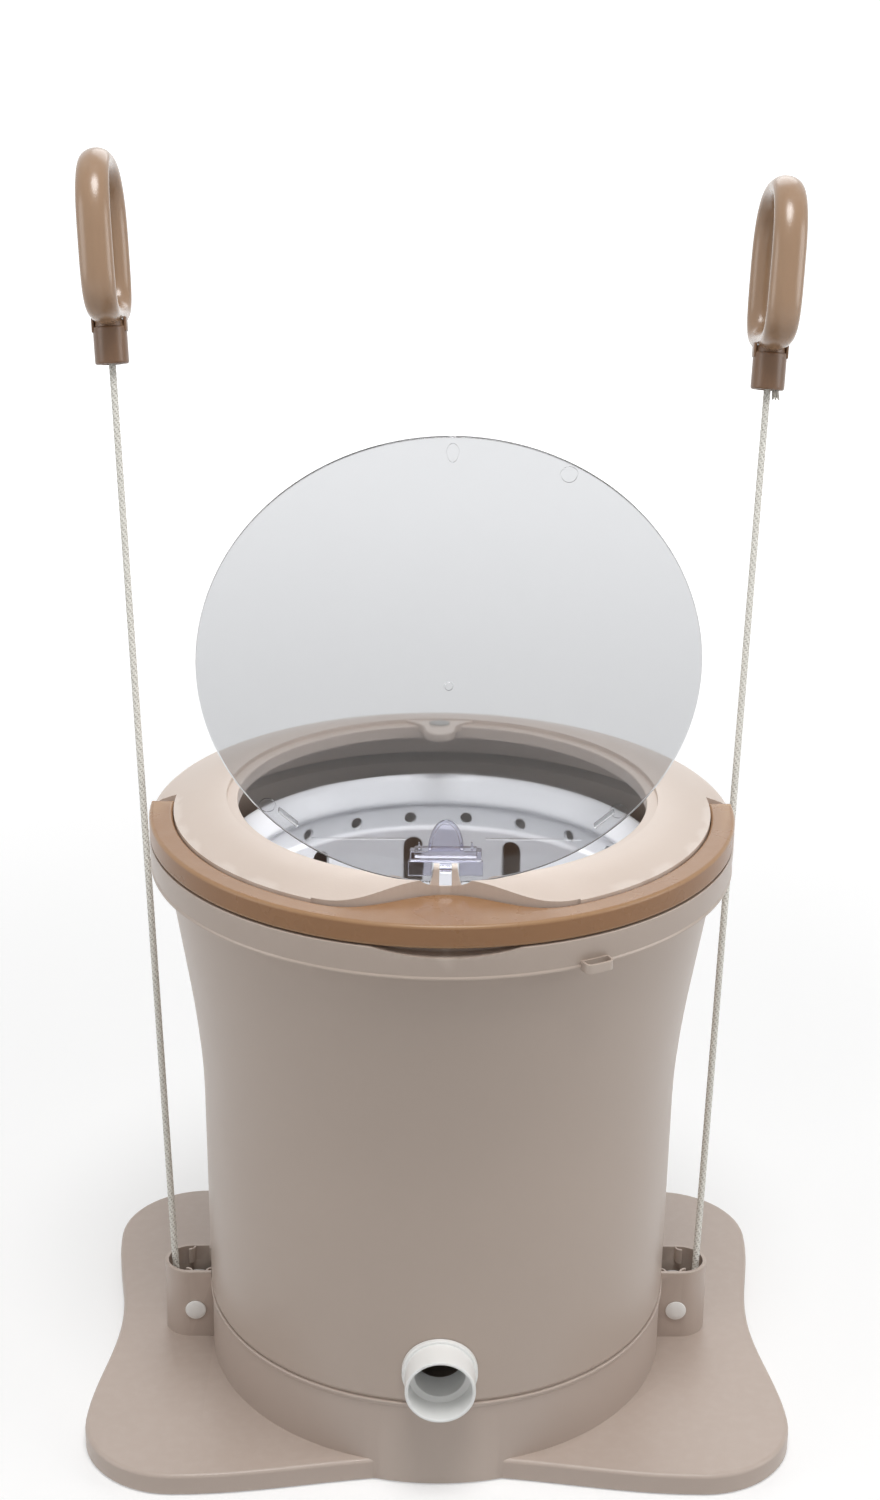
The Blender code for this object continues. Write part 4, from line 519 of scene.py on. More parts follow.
mats = {
    "taupe": mouldedPlastic("taupePlastic", "#B8A89C", "#D9CCC0", roughness=0.34, wearAndHighlight=0.4, coat=0.1),
    "plate": mouldedPlastic("platePlastic", "#BBABA0", "#DCCFC3", roughness=0.40, wearAndHighlight=0.4, dust=0.08, coat=0.05),
    "cream": mouldedPlastic("creamPlastic", "#D3C3B7", "#EADFD6", roughness=0.38, wearAndHighlight=0.4, coat=0.1),
    # high edge setting: a painted highlight line along the bail's rounded edges, besides rubbed wear
    "tan": mouldedPlastic("tanPlastic", "#946B48", "#D6B48C", dust=0.03, roughness=0.28, wearAndHighlight=2.0, coat=0.1, specular=0.3),
    "grip": mouldedPlastic("gripPlastic", "#9F7F62", "#C8AC8C", roughness=0.24, wearAndHighlight=0.25, coat=0.45),
    # hub: darker than the loops, its own brown plus painted shade
    "hub": mouldedPlastic("hubPlastic", "#79593F", "#9C7B60", roughness=0.34, wearAndHighlight=0.35, coat=0.15),
    "white": mouldedPlastic("whitePlastic", "#E6E6E4", "#F4F4F2", roughness=0.3, wearAndHighlight=0.2, hollowDarkening=0.25, coat=0.2),
    "nozzle": mouldedPlastic("nozzlePlastic", "#EEEEEC", "#FAFAF8", roughness=0.3, wearAndHighlight=0.2, hollowDarkening=0.1, dust=0.02, coat=0.2),
    "basket": mouldedPlastic("basketPlastic", "#F3F4F8", "#FAFAFC", roughness=0.25, wearAndHighlight=0.2, hollowDarkening=0.06, dust=0.02, coat=0.3),
    "cap": mouldedPlastic("capPlastic", "#ECEBE8", "#F6F5F2", roughness=0.4, wearAndHighlight=0.3, hollowDarkening=0.1),
    "grey": mouldedPlastic("greyPlastic", "#A9A8A5", "#C2C1BD", roughness=0.5),
    "rubber": mouldedPlastic("blackRubber", "#2A2A2A", "#454545", roughness=0.75, wearAndHighlight=0.4, dust=0.25, pebble=1500.0,
                             bump=0.0001),
    "clear": clearPlastic("clearPlastic", "#C9CACC"),
    "bluish": clearPlastic("bluishPlastic", "#E9EAF8", roughness=0.02),
    "steel": wornMetal("steel", "#B9BABD", 0.3),
    "bronze": wornMetal("bronze", "#B08A4E", 0.4),
    # the second colours are painted shade in the braid's grooves
    "rope": braidedRope("braidedRope", "#F4F2EA", "#CFCBC1"),
    "knot": braidedRope("knottedRope", "#E9E6DE", "#BDB9AE", pitch=300.0),
}
print("materials made")

# ---- ropes next: the outer runs are the only cords that show
ropes = {
    "radius": 0.0019,
    "leftTurn": Vector((-0.1436, 0.002, 0.0295)),       # where the rope leaves its roller
    "rightTurn": Vector((0.1436, 0.002, 0.0295)),
    "leftHub": Vector((-0.1766, 0.130, 0.528)),
    "rightHub": Vector((0.1747, 0.130, 0.517)),
    "seat": 0.0025,                                     # how far it goes up into the hub
    "step": 0.0012,
    "leftTravel": 0.485,
    "rightTravel": 0.474,
}


def strandSection(radius, lobes=8, depth=0.05, steps=24):
    return [(radius * (1 - depth + depth * math.cos(lobes * math.tau * i / steps)) * math.cos(math.tau * i / steps),
             radius * (1 - depth + depth * math.cos(lobes * math.tau * i / steps)) * math.sin(math.tau * i / steps))
            for i in range(steps)]


def makeRope(side):
    start = ropes[side + "Turn"]
    hub = ropes[side + "Hub"]
    up = (hub - start).normalized()
    end = hub + up * ropes["seat"]
    length = (end - start).length
    count = int(length / ropes["step"])
    path = [start.lerp(end, i / count) for i in range(count + 1)]
    piece = sweep(side + "RopeOut", path, strandSection(ropes["radius"]), twist=260.0, uv=True)
    place(piece, "base", mats["rope"], [side + "_rope"], "rope")
    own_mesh(piece)
    return piece


for side in ("left", "right"):
    makeRope(side)
print("ropes made")

# ---- foot plate with the skirt and the two rope towers
plate = {
    "top": 0.0122, "lift": 0.0005, "wall": 0.003, "centreY": 0.008, "round": 0.0022,
    "lobeX": 0.1365, "lobeY": 0.0915, "lobeRadius": 0.049, "waistHalf": 0.176, "endHalf": 0.125,
    "skirtRadius": 0.1235, "skirtWall": 0.003, "skirtTop": 0.0496, "skirtLip": 0.0011, "shelfZ": 0.036, "shelfThick": 0.003,
    "shelfInner": 0.104, "bossAt": 0.112, "tubBossAt": 0.1148, "bossRadius": 0.004,
    "towerY": 0.006, "towerHalf": 0.0145, "towerArcX": 0.136, "towerInnerX": 0.112, "towerTop": 0.0533,
    "towerWall": 0.002, "towerFloor": 0.0142, "rollerX": 0.133, "rollerZ": 0.0295, "pinRadius": 0.0024,
    "tubRoom": 0.1243, "clawNear": 0.1266, "clawFar": 0.1348, "clawRound": 0.003, "clawThick": 0.0011,
}


def plateOutline(inset, arcSteps=14, edgeSteps=12):
    quarter = []
    radius = plate["lobeRadius"] - inset
    side = plate["lobeX"] + radius
    end = plate["lobeY"] + radius
    waist = plate["waistHalf"] - inset
    middle = plate["endHalf"] - inset
    for i in range(edgeSteps):
        ease = 0.5 - 0.5 * math.cos(math.pi * i / edgeSteps)
        quarter.append((waist + (side - waist) * ease, plate["lobeY"] * i / edgeSteps))
    for i in range(arcSteps):
        turn = math.pi / 2 * i / arcSteps
        quarter.append((plate["lobeX"] + radius * math.cos(turn), plate["lobeY"] + radius * math.sin(turn)))
    for i in range(edgeSteps):
        ease = 0.5 - 0.5 * math.cos(math.pi * i / edgeSteps)
        quarter.append((plate["lobeX"] * (1 - i / edgeSteps), end - (end - middle) * ease))
    quarter.append((0.0, middle))
    outline = quarter + [(-x, y) for x, y in reversed(quarter[:-1])]
    outline += [(-x, -y) for x, y in quarter[1:]]
    outline += [(x, -y) for x, y in reversed(quarter[1:-1])]
    return [(x, y + plate["centreY"]) for x, y in outline]


def towerOutline(side, inset, innerX, steps=24):
    half = plate["towerHalf"] - inset
    outline = [(side * innerX, plate["towerY"] - half)]
    for i in range(steps + 1):
        turn = -math.pi / 2 + math.pi * i / steps
        outline.append((side * (plate["towerArcX"] + half * math.cos(turn)), plate["towerY"] + half * math.sin(turn)))
    outline.append((side * innerX, plate["towerY"] + half))
    return outline if side > 0 else outline[::-1]


def makeBase():
    p = plate
    top, low, soft = p["top"], p["lift"], p["round"]
    ceiling = top - p["wall"]
    levels = [(soft + 0.001, top), (soft, top)]
    levels += [(soft * (1 - math.sin(turn)), top - soft * (1 - math.cos(turn)))
               for turn in [math.pi / 2 * i / 5 for i in range(1, 6)]]
    levels += [(0.0, low + 0.0006), (0.0004, low), (p["wall"] - 0.0004, low), (p["wall"], low + 0.0004),
               (p["wall"], ceiling)]
    base = plateLoft("basePlate", plateOutline, levels)
    inner = p["skirtRadius"] - p["skirtWall"]
    shelfTop = p["shelfZ"] + p["shelfThick"]
    cutAway(base, rod("well", p["skirtRadius"] - p["skirtWall"] / 2, (0, 0, -0.004), (0, 0, top + 0.004), 160))
    skirt = lathe("skirt", softened([
        (p["skirtRadius"] + p["skirtLip"], p["skirtTop"], 0.0005), (p["skirtRadius"] + p["skirtLip"], p["skirtTop"] - 0.0016, 0.0008),
        (p["skirtRadius"], p["skirtTop"] - 0.0028, 0.0008), (p["skirtRadius"], low + gap), (inner, low + gap),
        (inner, p["shelfZ"]), (p["shelfInner"], p["shelfZ"], 0.0004), (p["shelfInner"], shelfTop, 0.0004),
        (inner, shelfTop), (inner, p["skirtTop"], 0.0004)]))
    added = [skirt]
    for sideX in (-1, 1):
        for sideY in (-1, 1):
            x, y = sideX * (p["lobeX"] + 0.003), sideY * (p["lobeY"] + 0.003) + p["centreY"]
            added.append(rod("padSeat", 0.016, (x, y, 0.0033), (x, y, ceiling + 0.0015)))
            reach = Vector((sideX * p["lobeX"], sideY * p["lobeY"] + p["centreY"], 0)).normalized()
            for lane in (-1, 1):
                rib = box("rib", (0, -0.001, ceiling - 0.0058), (0.052, 0.001, ceiling + 0.0015))
                rib.data.transform(Matrix.Translation(reach * (p["skirtRadius"] - 0.0015) +
                                                      Vector((-reach.y, reach.x, 0)) * 0.008 * lane)
                                   @ Matrix.Rotation(math.atan2(reach.y, reach.x), 4, "Z"))
                added.append(rib)
    for i in range(4):
        turn = math.pi / 4 + math.pi / 2 * i
        x, y = p["bossAt"] * math.cos(turn), p["bossAt"] * math.sin(turn)
        added.append(rod("coverBoss", p["bossRadius"], (x, y, 0.0043), (x, y, p["shelfZ"] + 0.0015)))
    for side in (-1, 1):
        tower = loft("tower", [[(x, y, z) for x, y in towerOutline(side, inset, p["towerInnerX"])]
                               for inset, z in [(0, top - 0.0015), (0, p["towerTop"] - 0.0006),
                                                (0.0002, p["towerTop"] - 0.0002), (0.0006, p["towerTop"])]])
        cutAway(tower, rod("towerTrim", p["skirtRadius"] - p["skirtWall"] / 2, (0, 0, 0), (0, 0, 0.06), 160))
        added.append(tower)
    joinOn(base, *added)
    holes = [lathe("tubRoom", [(0, 0.06), (p["tubRoom"], 0.06), (p["tubRoom"], p["skirtTop"] + 0.0002),
                               (0, p["skirtTop"] + 0.0002)], closed=False)]
    for side in (-1, 1):
        mouthX = p["skirtRadius"] + gap
        holes.append(loft("towerWell", [[(x, y, z) for x, y in towerOutline(side, inset, mouthX)]
                                        for inset, z in [(p["towerWall"], p["towerFloor"]),
                                                         (p["towerWall"], p["towerTop"] - 0.0004),
                                                         (p["towerWall"] - 0.0004, p["towerTop"] + 0.004)]]))
        windowHalf = p["towerHalf"] - p["towerWall"] - gap
        ends = sorted((side * 0.1175, side * (mouthX + 0.004)))
        holes.append(box("window", (ends[0], p["towerY"] - windowHalf, 0.0155), (ends[1], p["towerY"] + windowHalf, 0.0425)))
        holes.append(rod("pinHole", p["pinRadius"] + gap, (side * p["rollerX"], p["towerY"] - 0.02, p["rollerZ"]),
                         (side * p["rollerX"], p["towerY"] + 0.02, p["rollerZ"]), 24))
    for i in range(4):
        turn = math.pi / 4 + math.pi / 2 * i
        x, y = p["bossAt"] * math.cos(turn), p["bossAt"] * math.sin(turn)
        holes.append(rod("coverBore", 0.0015, (x, y, 0.0), (x, y, 0.018), 16))
        turn = math.pi / 8 + math.pi / 2 * i
        x, y = p["tubBossAt"] * math.cos(turn), p["tubBossAt"] * math.sin(turn)
        holes.append(rod("tubScrewHole", 0.0015, (x, y, 0.032), (x, y, 0.043), 16))
    cutAway(base, *holes)
    claws = []
    for side in (-1, 1):
        for claw, lean in ((p["clawNear"], -side), (p["clawFar"], side)):
            for front in (-1, 1):
                wall = p["towerY"] + front * (p["towerHalf"] - p["towerWall"])
                turns = [math.radians(110 * i / 12 - 15) for i in range(13)]
                arc = [(1 - math.cos(turn), math.sin(turn)) for turn in turns]
                outline = []
                for ring, points in ((p["clawRound"] + p["clawThick"] / 2, arc), (p["clawRound"] - p["clawThick"] / 2, arc[::-1])):
                    outline += [(side * claw + lean * (p["clawRound"] - ring * (1 - x)), wall - front * ring * y) for x, y in points]
                claws.append(slab("claw", outline if lean * front > 0 else outline[::-1], p["towerTop"] - 0.009,
                                  p["towerTop"] - 0.0001, 0.0002, 1))
    joinOn(base, *claws)
    place(base, "base", mats["plate"], ["base_moulding"], "taupe_plastic", angle=32, level=True)


makeBase()
print("foot plate, skirt and towers made")

# ---- tub with its rim band, scoop and loop hook
tubShape = {
    "wall": 0.0025, "floorTop": 0.046, "floorThick": 0.0025, "foot": 0.0499, "footRadius": 0.124,
    "kneeRadius": 0.1252, "kneeZ": 0.170, "flareRadius": 0.1321, "flareZ": 0.240, "neckRadius": 0.1415, "neckZ": 0.299,
    "bandRadius": 0.150, "bandLow": 0.3002, "bandTop": 0.3156, "bandWall": 0.003, "bandInner": 0.139,
    "shelfUnder": 0.0088, "spigot": 0.1202, "drainZ": 0.0697, "drainHole": 0.0160,
    "scoopHalf": 0.035, "scoopDepth": 0.004, "hookAngle": math.radians(-62.1), "hookReach": 0.006, "hookWidth": 0.015,
    "bandLean": 0.0006, "hookBar": 0.0010, "hookLow": 0.2990, "hookTop": 0.304,
}


def tubRadius(z):
    t = tubShape
    if z <= t["kneeZ"]:
        return t["footRadius"] + (t["kneeRadius"] - t["footRadius"]) * (z - t["foot"]) / (t["kneeZ"] - t["foot"])
    if z <= t["flareZ"]:
        return t["kneeRadius"] + (t["flareRadius"] - t["kneeRadius"]) * ((z - t["kneeZ"]) / (t["flareZ"] - t["kneeZ"])) ** 1.6
    return t["flareRadius"] + (t["neckRadius"] - t["flareRadius"]) * (z - t["flareZ"]) / (t["neckZ"] - t["flareZ"])


def makeTub():
    t = tubShape
    under = t["floorTop"] - t["floorThick"]
    heights = [t["foot"] + 0.006 * i for i in range(1, 20)] + [t["kneeZ"] + 0.0129 * i for i in range(11)]
    profile = [(t["bandRadius"], t["bandTop"], 0.0006), (t["bandRadius"], t["bandTop"] - t["scoopDepth"] - 0.0012),
               (t["bandRadius"] - t["bandLean"], t["bandLow"] + 0.0018, 0.0003),
               (t["bandRadius"] - 0.0001, t["bandLow"] + 0.0011, 0.0004), (t["bandRadius"] - 0.0001, t["bandLow"], 0.0005),
               (t["neckRadius"] + gap, t["bandLow"], 0.0006)]
    profile += [(tubRadius(z), z) for z in reversed(heights)]
    profile += [(t["footRadius"], t["foot"] + 0.0016, 0.0006), (t["footRadius"] - 0.0008, t["foot"] + 0.0007, 0.0003),
                (t["footRadius"] - 0.0008, t["foot"]), (t["spigot"], t["foot"]), (t["spigot"], under + 0.0025, 0.001),
                (t["spigot"] - 0.0025, under, 0.001), (0.009, under), (0.009, 0.088), (0.0125, 0.088, 0.0006),
                (0.016, t["floorTop"] + 0.0025, 0.004), (0.0185, t["floorTop"], 0.002), (0.1152, t["floorTop"], 0.002),
                (0.1177, t["floorTop"] + 0.0025, 0.002), (0.1177, t["foot"], 0.001),
                (t["footRadius"] - t["wall"], t["foot"] + t["wall"] - gap, 0.001)]
    profile += [(tubRadius(z) - t["wall"], z) for z in heights]
    band = t["bandRadius"] - t["bandWall"]
    profile += [(band, t["bandLow"] + t["bandWall"], 0.0008), (band, t["bandTop"] - t["shelfUnder"]),
                (t["bandInner"], t["bandTop"] - t["shelfUnder"]), (t["bandInner"], t["bandTop"], 0.0004)]
    tub = lathe("tubShell", softened(profile), 176)
    bosses = []
    bores = []
    for i in range(4):
        turn = math.pi / 8 + math.pi / 2 * i
        x, y = plate["tubBossAt"] * math.cos(turn), plate["tubBossAt"] * math.sin(turn)
        bosses.append(rod("boss", 0.004, (x, y, 0.0393), (x, y, under + 0.0012)))
        bores.append(rod("bore", 0.0015, (x, y, 0.035), (x, y, 0.0455), 16))
    angle = t["hookAngle"]
    near, far, half = t["bandRadius"], t["bandRadius"] + t["hookReach"], t["hookWidth"] / 2
    hook = slab("hook", softened([(near - 0.0015, -half), (far, -half, 0.0042), (far, half, 0.0042), (near - 0.0015, half)]),
                t["hookLow"], t["hookTop"], 0.0005, 2)
    half, far = half - t["hookBar"], far - t["hookBar"]
    hookHole = slab("hookHole", softened([(near + gap, -half), (far, -half, 0.0034), (far, half, 0.0034), (near + gap, half)]),
                    t["hookLow"] - 0.004, t["hookTop"] + 0.004)
    for tool in (hook, hookHole):
        tool.data.transform(Matrix.Rotation(angle, 4, "Z"))
    joinOn(tub, hook, together("bosses", bosses))
    depth, half = t["scoopDepth"], t["scoopHalf"]
    scoopRadius = (half ** 2 + depth ** 2) / (2 * depth)
    scoopZ = t["bandTop"] - depth + scoopRadius
    scoop = rod("scoop", scoopRadius, (0, -t["bandRadius"] - 0.004, scoopZ), (0, -t["bandInner"] - t["bandWall"], scoopZ), 320)
    drainHole = rod("drainHole", t["drainHole"], (0, -0.13, t["drainZ"]), (0, -0.115, t["drainZ"]), 48)
    cutAway(tub, hookHole, scoop, drainHole, together("bores", bores))
    place(tub, "base", mats["taupe"], ["tub"], "taupe_plastic", angle=30, level=True)


makeTub()
print("tub made")

# ---- drain nozzle, gasket and nut
drain = {"z": 0.0697, "radius": 0.0178, "bore": 0.0161, "mouth": 0.1431, "step": 0.1285, "flange": 0.0193,
         "flangeFace": 0.1272, "thread": 0.0156, "threadBore": 0.0128, "threadEnd": 0.111, "nutFace": 0.1165,
         "nutThick": 0.0048, "nutRadius": 0.020, "gasket": 0.0175, "threads": 5}


def toFront(piece):
    piece.data.transform(Matrix.Translation((0, 0, drain["z"])) @ Matrix.Rotation(math.pi / 2, 4, "X"))
    return piece


def makeDrain():
    d = drain
    nozzle = toFront(lathe("drainNozzle", softened([
        (d["radius"], d["mouth"], 0.0009), (d["radius"], d["flangeFace"] - 0.0007, 0.0004),
        (d["thread"], d["flangeFace"] - 0.0007), (d["thread"], d["threadEnd"], 0.0006), (d["threadBore"], d["threadEnd"], 0.0004),
        (d["threadBore"], d["step"] - 0.0007, 0.0005), (d["bore"], d["step"], 0.0005), (d["bore"], d["mouth"], 0.0008)]), 96))
    flange = toFront(lathe("flange", softened([
        (d["flange"], d["flangeFace"], 0.0008), (d["flange"], d["nutFace"]), (d["threadBore"] + 0.0007, d["nutFace"]),
        (d["threadBore"] + 0.0007, d["flangeFace"])]), 96))
    cutAway(flange, rod("wallRound", 0.1247, (0, 0, 0.04), (0, 0, 0.1), 240))
    joinOn(nozzle, flange)
    place(nozzle, "base", mats["nozzle"], ["drain_nozzle"], "white_plastic")
    gasket = toFront(lathe("gasketRing", [(d["gasket"], 0.124), (d["gasket"], d["nutFace"] + gap),
                                          (d["thread"] + gap, d["nutFace"] + gap), (d["thread"] + gap, 0.124)], 64))
    combine(gasket, [rod("inside", 0.1212, (0, 0, 0.04), (0, 0, 0.1), 160)], "INTERSECT")
    place(gasket, "base", mats["rubber"], ["drain_gasket"], "rubber")
    grips = 16
    outline = [((d["nutRadius"] - 0.0006 + 0.0006 * math.cos(grips * math.tau * i / 128)) * math.cos(math.tau * i / 128),
                (d["nutRadius"] - 0.0006 + 0.0006 * math.cos(grips * math.tau * i / 128)) * math.sin(math.tau * i / 128))
               for i in range(128)]
    nut = slab("drainNut", outline, d["nutFace"] - d["nutThick"], d["nutFace"], 0.0003, 2)
    cutAway(nut, rod("nutBore", d["thread"] + gap, (0, 0, 0.1), (0, 0, 0.13), 64))
    place(toFront(nut), "base", mats["grey"], ["drain_nut"], "grey_plastic")


makeDrain()
print("drain made")

# ---- top ring, its boss and the catch in it
ringShape = {
    "outer": 0.1495, "edgeZ": 0.3235, "browRadius": 0.146, "browZ": 0.326, "cutback": 0.1375, "cutbackZ": 0.329,
    "crestRadius": 0.1105, "crestZ": 0.3353, "ledgeZ": 0.3332, "opening": 0.1048, "spigotOuter": 0.1386,
    "spigotInner": 0.1362, "spigotLow": 0.306, "lipLow": 0.3262, "shell": 0.0024, "bossHalf": 0.0195, "bossTip": 0.0085,
    "bossWideY": 0.1092, "bossTipY": 0.0865, "bossThick": 0.0044, "bossTop": 0.3349, "catchHalf": 0.0055,
    "catchLong": 0.0036, "catchY": 0.1035, "catchDeep": 0.0038, "catchProud": 0.0008, "hingeY": -0.1063, "hingeZ": 0.3381, "earRadius": 0.0024,
    "earInner": 0.003, "earFoot": 0.0027, "earThick": 0.0026, "hingePin": 0.0009, "lidRadius": 0.1142, "sweepHalf": 0.0412,
    "sweepRoom": 0.0008, "recessHalf": 0.019,
}
bailShape = {"inner": 0.1378, "outer": 0.150, "low": 0.3162, "top": 0.328, "pivotY": 0.0025, "pivotZ": 0.322,
             "endRadius": 0.0057, "pinRadius": 0.0022, "pinInner": 0.1312, "pinOuter": 0.1462, "bossRadius": 0.0048,
             "gripY": 0.1128, "gripHalf": 0.062, "round": 0.0019, "pocketGap": 0.0012}


def crownZ(radius):
    r = ringShape
    share = (r["cutback"] - radius) / (r["cutback"] - r["crestRadius"])
    return r["cutbackZ"] + (r["crestZ"] - r["cutbackZ"]) * math.sin(share * math.pi / 2)


def waveOutline(clearance, outerRadius, steps=40):
    b = bailShape
    inner, middle, half = b["inner"] - clearance, b["gripY"] - clearance, b["gripHalf"] + clearance
    points = []
    for i in range(steps + 1):
        x = -half + 2 * half * i / steps
        rise = 0.5 + 0.5 * math.cos(math.pi * x / half)
        edge = math.sqrt(inner ** 2 - x ** 2)
        points.append((x, -(edge + (middle - edge) * rise)))
    reach = math.asin(half / outerRadius)
    for i in range(steps + 1):
        turn = reach - 2 * reach * i / steps
        points.append((outerRadius * math.sin(turn), -outerRadius * math.cos(turn)))
    return points


def oval(halfWidth, halfLength, centreY, steps=48):
    return [(halfWidth * math.cos(math.tau * i / steps), centreY + halfLength * math.sin(math.tau * i / steps))
            for i in range(steps)]


def makeTopRing():
    r, b = ringShape, bailShape
    low = tubShape["bandTop"] + gap
    crest = [(radius, crownZ(radius)) for radius in
             [r["crestRadius"] + (r["cutback"] - r["crestRadius"]) * i / 10 for i in range(11)]]
    profile = crest + [(r["browRadius"], r["browZ"], 0.003), (r["outer"], r["edgeZ"], 0.002), (r["outer"], low, 0.0005),
                       (r["outer"] - r["shell"], low), (r["outer"] - r["shell"], r["edgeZ"] - r["shell"]),
                       (r["spigotOuter"], r["edgeZ"] - r["shell"]), (r["spigotOuter"], r["spigotLow"], 0.0004),
                       (r["spigotInner"], r["spigotLow"], 0.0004), (r["spigotInner"], r["edgeZ"] - r["shell"]),
                       (0.1142, 0.3271), (r["opening"] + r["shell"], b["top"] - r["shell"]),
                       (r["opening"] + r["shell"], r["lipLow"], 0.0006), (r["opening"], r["lipLow"], 0.0006),
                       (r["opening"], r["ledgeZ"], 0.0009), (r["crestRadius"] - gap, r["ledgeZ"])]
    ring = lathe("topRing", softened(profile), 176)
    joinOn(ring, slab("filler", waveOutline(b["pocketGap"] + r["shell"], r["spigotInner"] + gap), b["low"] - r["shell"],
                      r["cutbackZ"] - 2 * gap))
    pocket = slab("pocket", waveOutline(b["pocketGap"], b["outer"] + 0.004), b["low"] - gap, r["crestZ"] + 0.004)
    room = lathe("bailRoom", [(b["outer"] + 0.004, r["crestZ"] + 0.004), (b["outer"] + 0.004, tubShape["bandTop"]),
                              (r["cutback"], tubShape["bandTop"]), (r["cutback"], r["crestZ"] + 0.004)], 176)
    back = b["pivotY"] + b["endRadius"] + b["pocketGap"]
    cutAway(room, box("roomBack", (-0.16, back, 0.3), (0.16, 0.17, 0.36)))
    cutAway(ring, pocket, room)
    for side in (-1, 1):
        joinOn(ring, rod("pinBoss", b["bossRadius"], (side * b["pinInner"], b["pivotY"], b["pivotZ"]),
                         (side * r["cutback"], b["pivotY"], b["pivotZ"])))
        cutAway(ring, rod("pinBore", b["pinRadius"] + gap, (side * (b["pinInner"] - gap), b["pivotY"], b["pivotZ"]),
                          (side * (r["cutback"] + 0.004), b["pivotY"], b["pivotZ"]), 24))
    half = [(r["bossTip"] * math.cos(turn), r["bossTipY"] + r["bossTip"] * (1 - math.sin(turn)))
            for turn in [math.pi / 2 * (1 - i / 12) for i in range(13)]]
    flare = [(r["bossTip"] + (r["bossHalf"] - r["bossTip"]) * (i / 14) ** 2.6,
              r["bossTipY"] + r["bossTip"] + (r["bossWideY"] - r["bossTipY"] - r["bossTip"]) * i / 14) for i in range(1, 15)]
    half += flare
    boss = slab("boss", half + [(-x, y) for x, y in reversed(half[1:])], r["bossTop"] - r["bossThick"], r["bossTop"], 0.001, 3)
    joinOn(ring, boss)
    cutAway(ring, slab("catchPocket", oval(r["catchHalf"] + gap, r["catchLong"] + gap, r["catchY"]),
                       r["bossTop"] - r["catchDeep"], r["bossTop"] + 0.004))
    spindle = []                                        # the room that the lid's edge sweeps as it opens
    for i in range(49):
        along = r["sweepHalf"] * (i / 24 - 1)
        spindle.append((max(math.sqrt(r["lidRadius"] ** 2 - along ** 2) + r["hingeY"] + r["sweepRoom"], 0.0004), along))
    trough = lathe("trough", [(0, spindle[0][1])] + spindle + [(0, spindle[-1][1])], 64, closed=False)
    trough.data.transform(Matrix.Translation((0, r["hingeY"], r["hingeZ"])) @ Matrix.Rotation(math.pi / 2, 4, "Y"))
    recess = slab("recess", softened([(-r["recessHalf"], r["hingeY"] - gap, 0.003), (r["recessHalf"], r["hingeY"] - gap, 0.003),
                                      (r["recessHalf"], 0), (-r["recessHalf"], 0)]), r["lipLow"] - 0.004, r["hingeZ"])
    cutAway(ring, trough, recess)
    for side in (-1, 1):
        ends = sorted((side * r["earInner"], side * (r["earInner"] + r["earThick"])))
        ear = rod("ear", r["earRadius"], (ends[0], r["hingeY"], r["hingeZ"]), (ends[1], r["hingeY"], r["hingeZ"]), 32)
        low, near, far = b["top"] - r["shell"] / 2, r["hingeY"] - r["earRadius"], r["hingeY"] + r["earRadius"] - gap
        inner, outer = side * r["earInner"], side * (r["earInner"] + r["earThick"])
        foot = loft("earFoot", [[(inner, near, z), (inner, far, z), (edge, far, z), (edge, near, z)] for edge, z in
                                ((outer + side * r["earFoot"], low), (outer + side * r["earFoot"] / 3, r["hingeZ"] - 0.0045), (outer, r["hingeZ"]))])
        joinOn(ear, foot)
        joinOn(ring, ear)
    cutAway(ring, rod("hingeBore", r["hingePin"] + gap, (-r["recessHalf"], r["hingeY"], r["hingeZ"]),
                      (r["recessHalf"], r["hingeY"], r["hingeZ"]), 24))
    place(ring, "base", mats["cream"], ["top_ring"], "cream_plastic", angle=30, level=True)
    catch = slab("catchInsert", oval(r["catchHalf"], r["catchLong"], r["catchY"]), r["bossTop"] - r["catchDeep"] + gap,
                 r["bossTop"] + r["catchProud"], 0.0003, 3)
    place(catch, "base", mats["grey"], ["lid_catch"], "grey_plastic")
    place(rod("hingePin", r["hingePin"], (-r["earInner"] - r["earThick"], r["hingeY"], r["hingeZ"]),
              (r["earInner"] + r["earThick"], r["hingeY"], r["hingeZ"]), 24, edge=0.0002),
          "base", mats["steel"], ["lid_hinge_pin"], "steel")


makeTopRing()
print("top ring made")


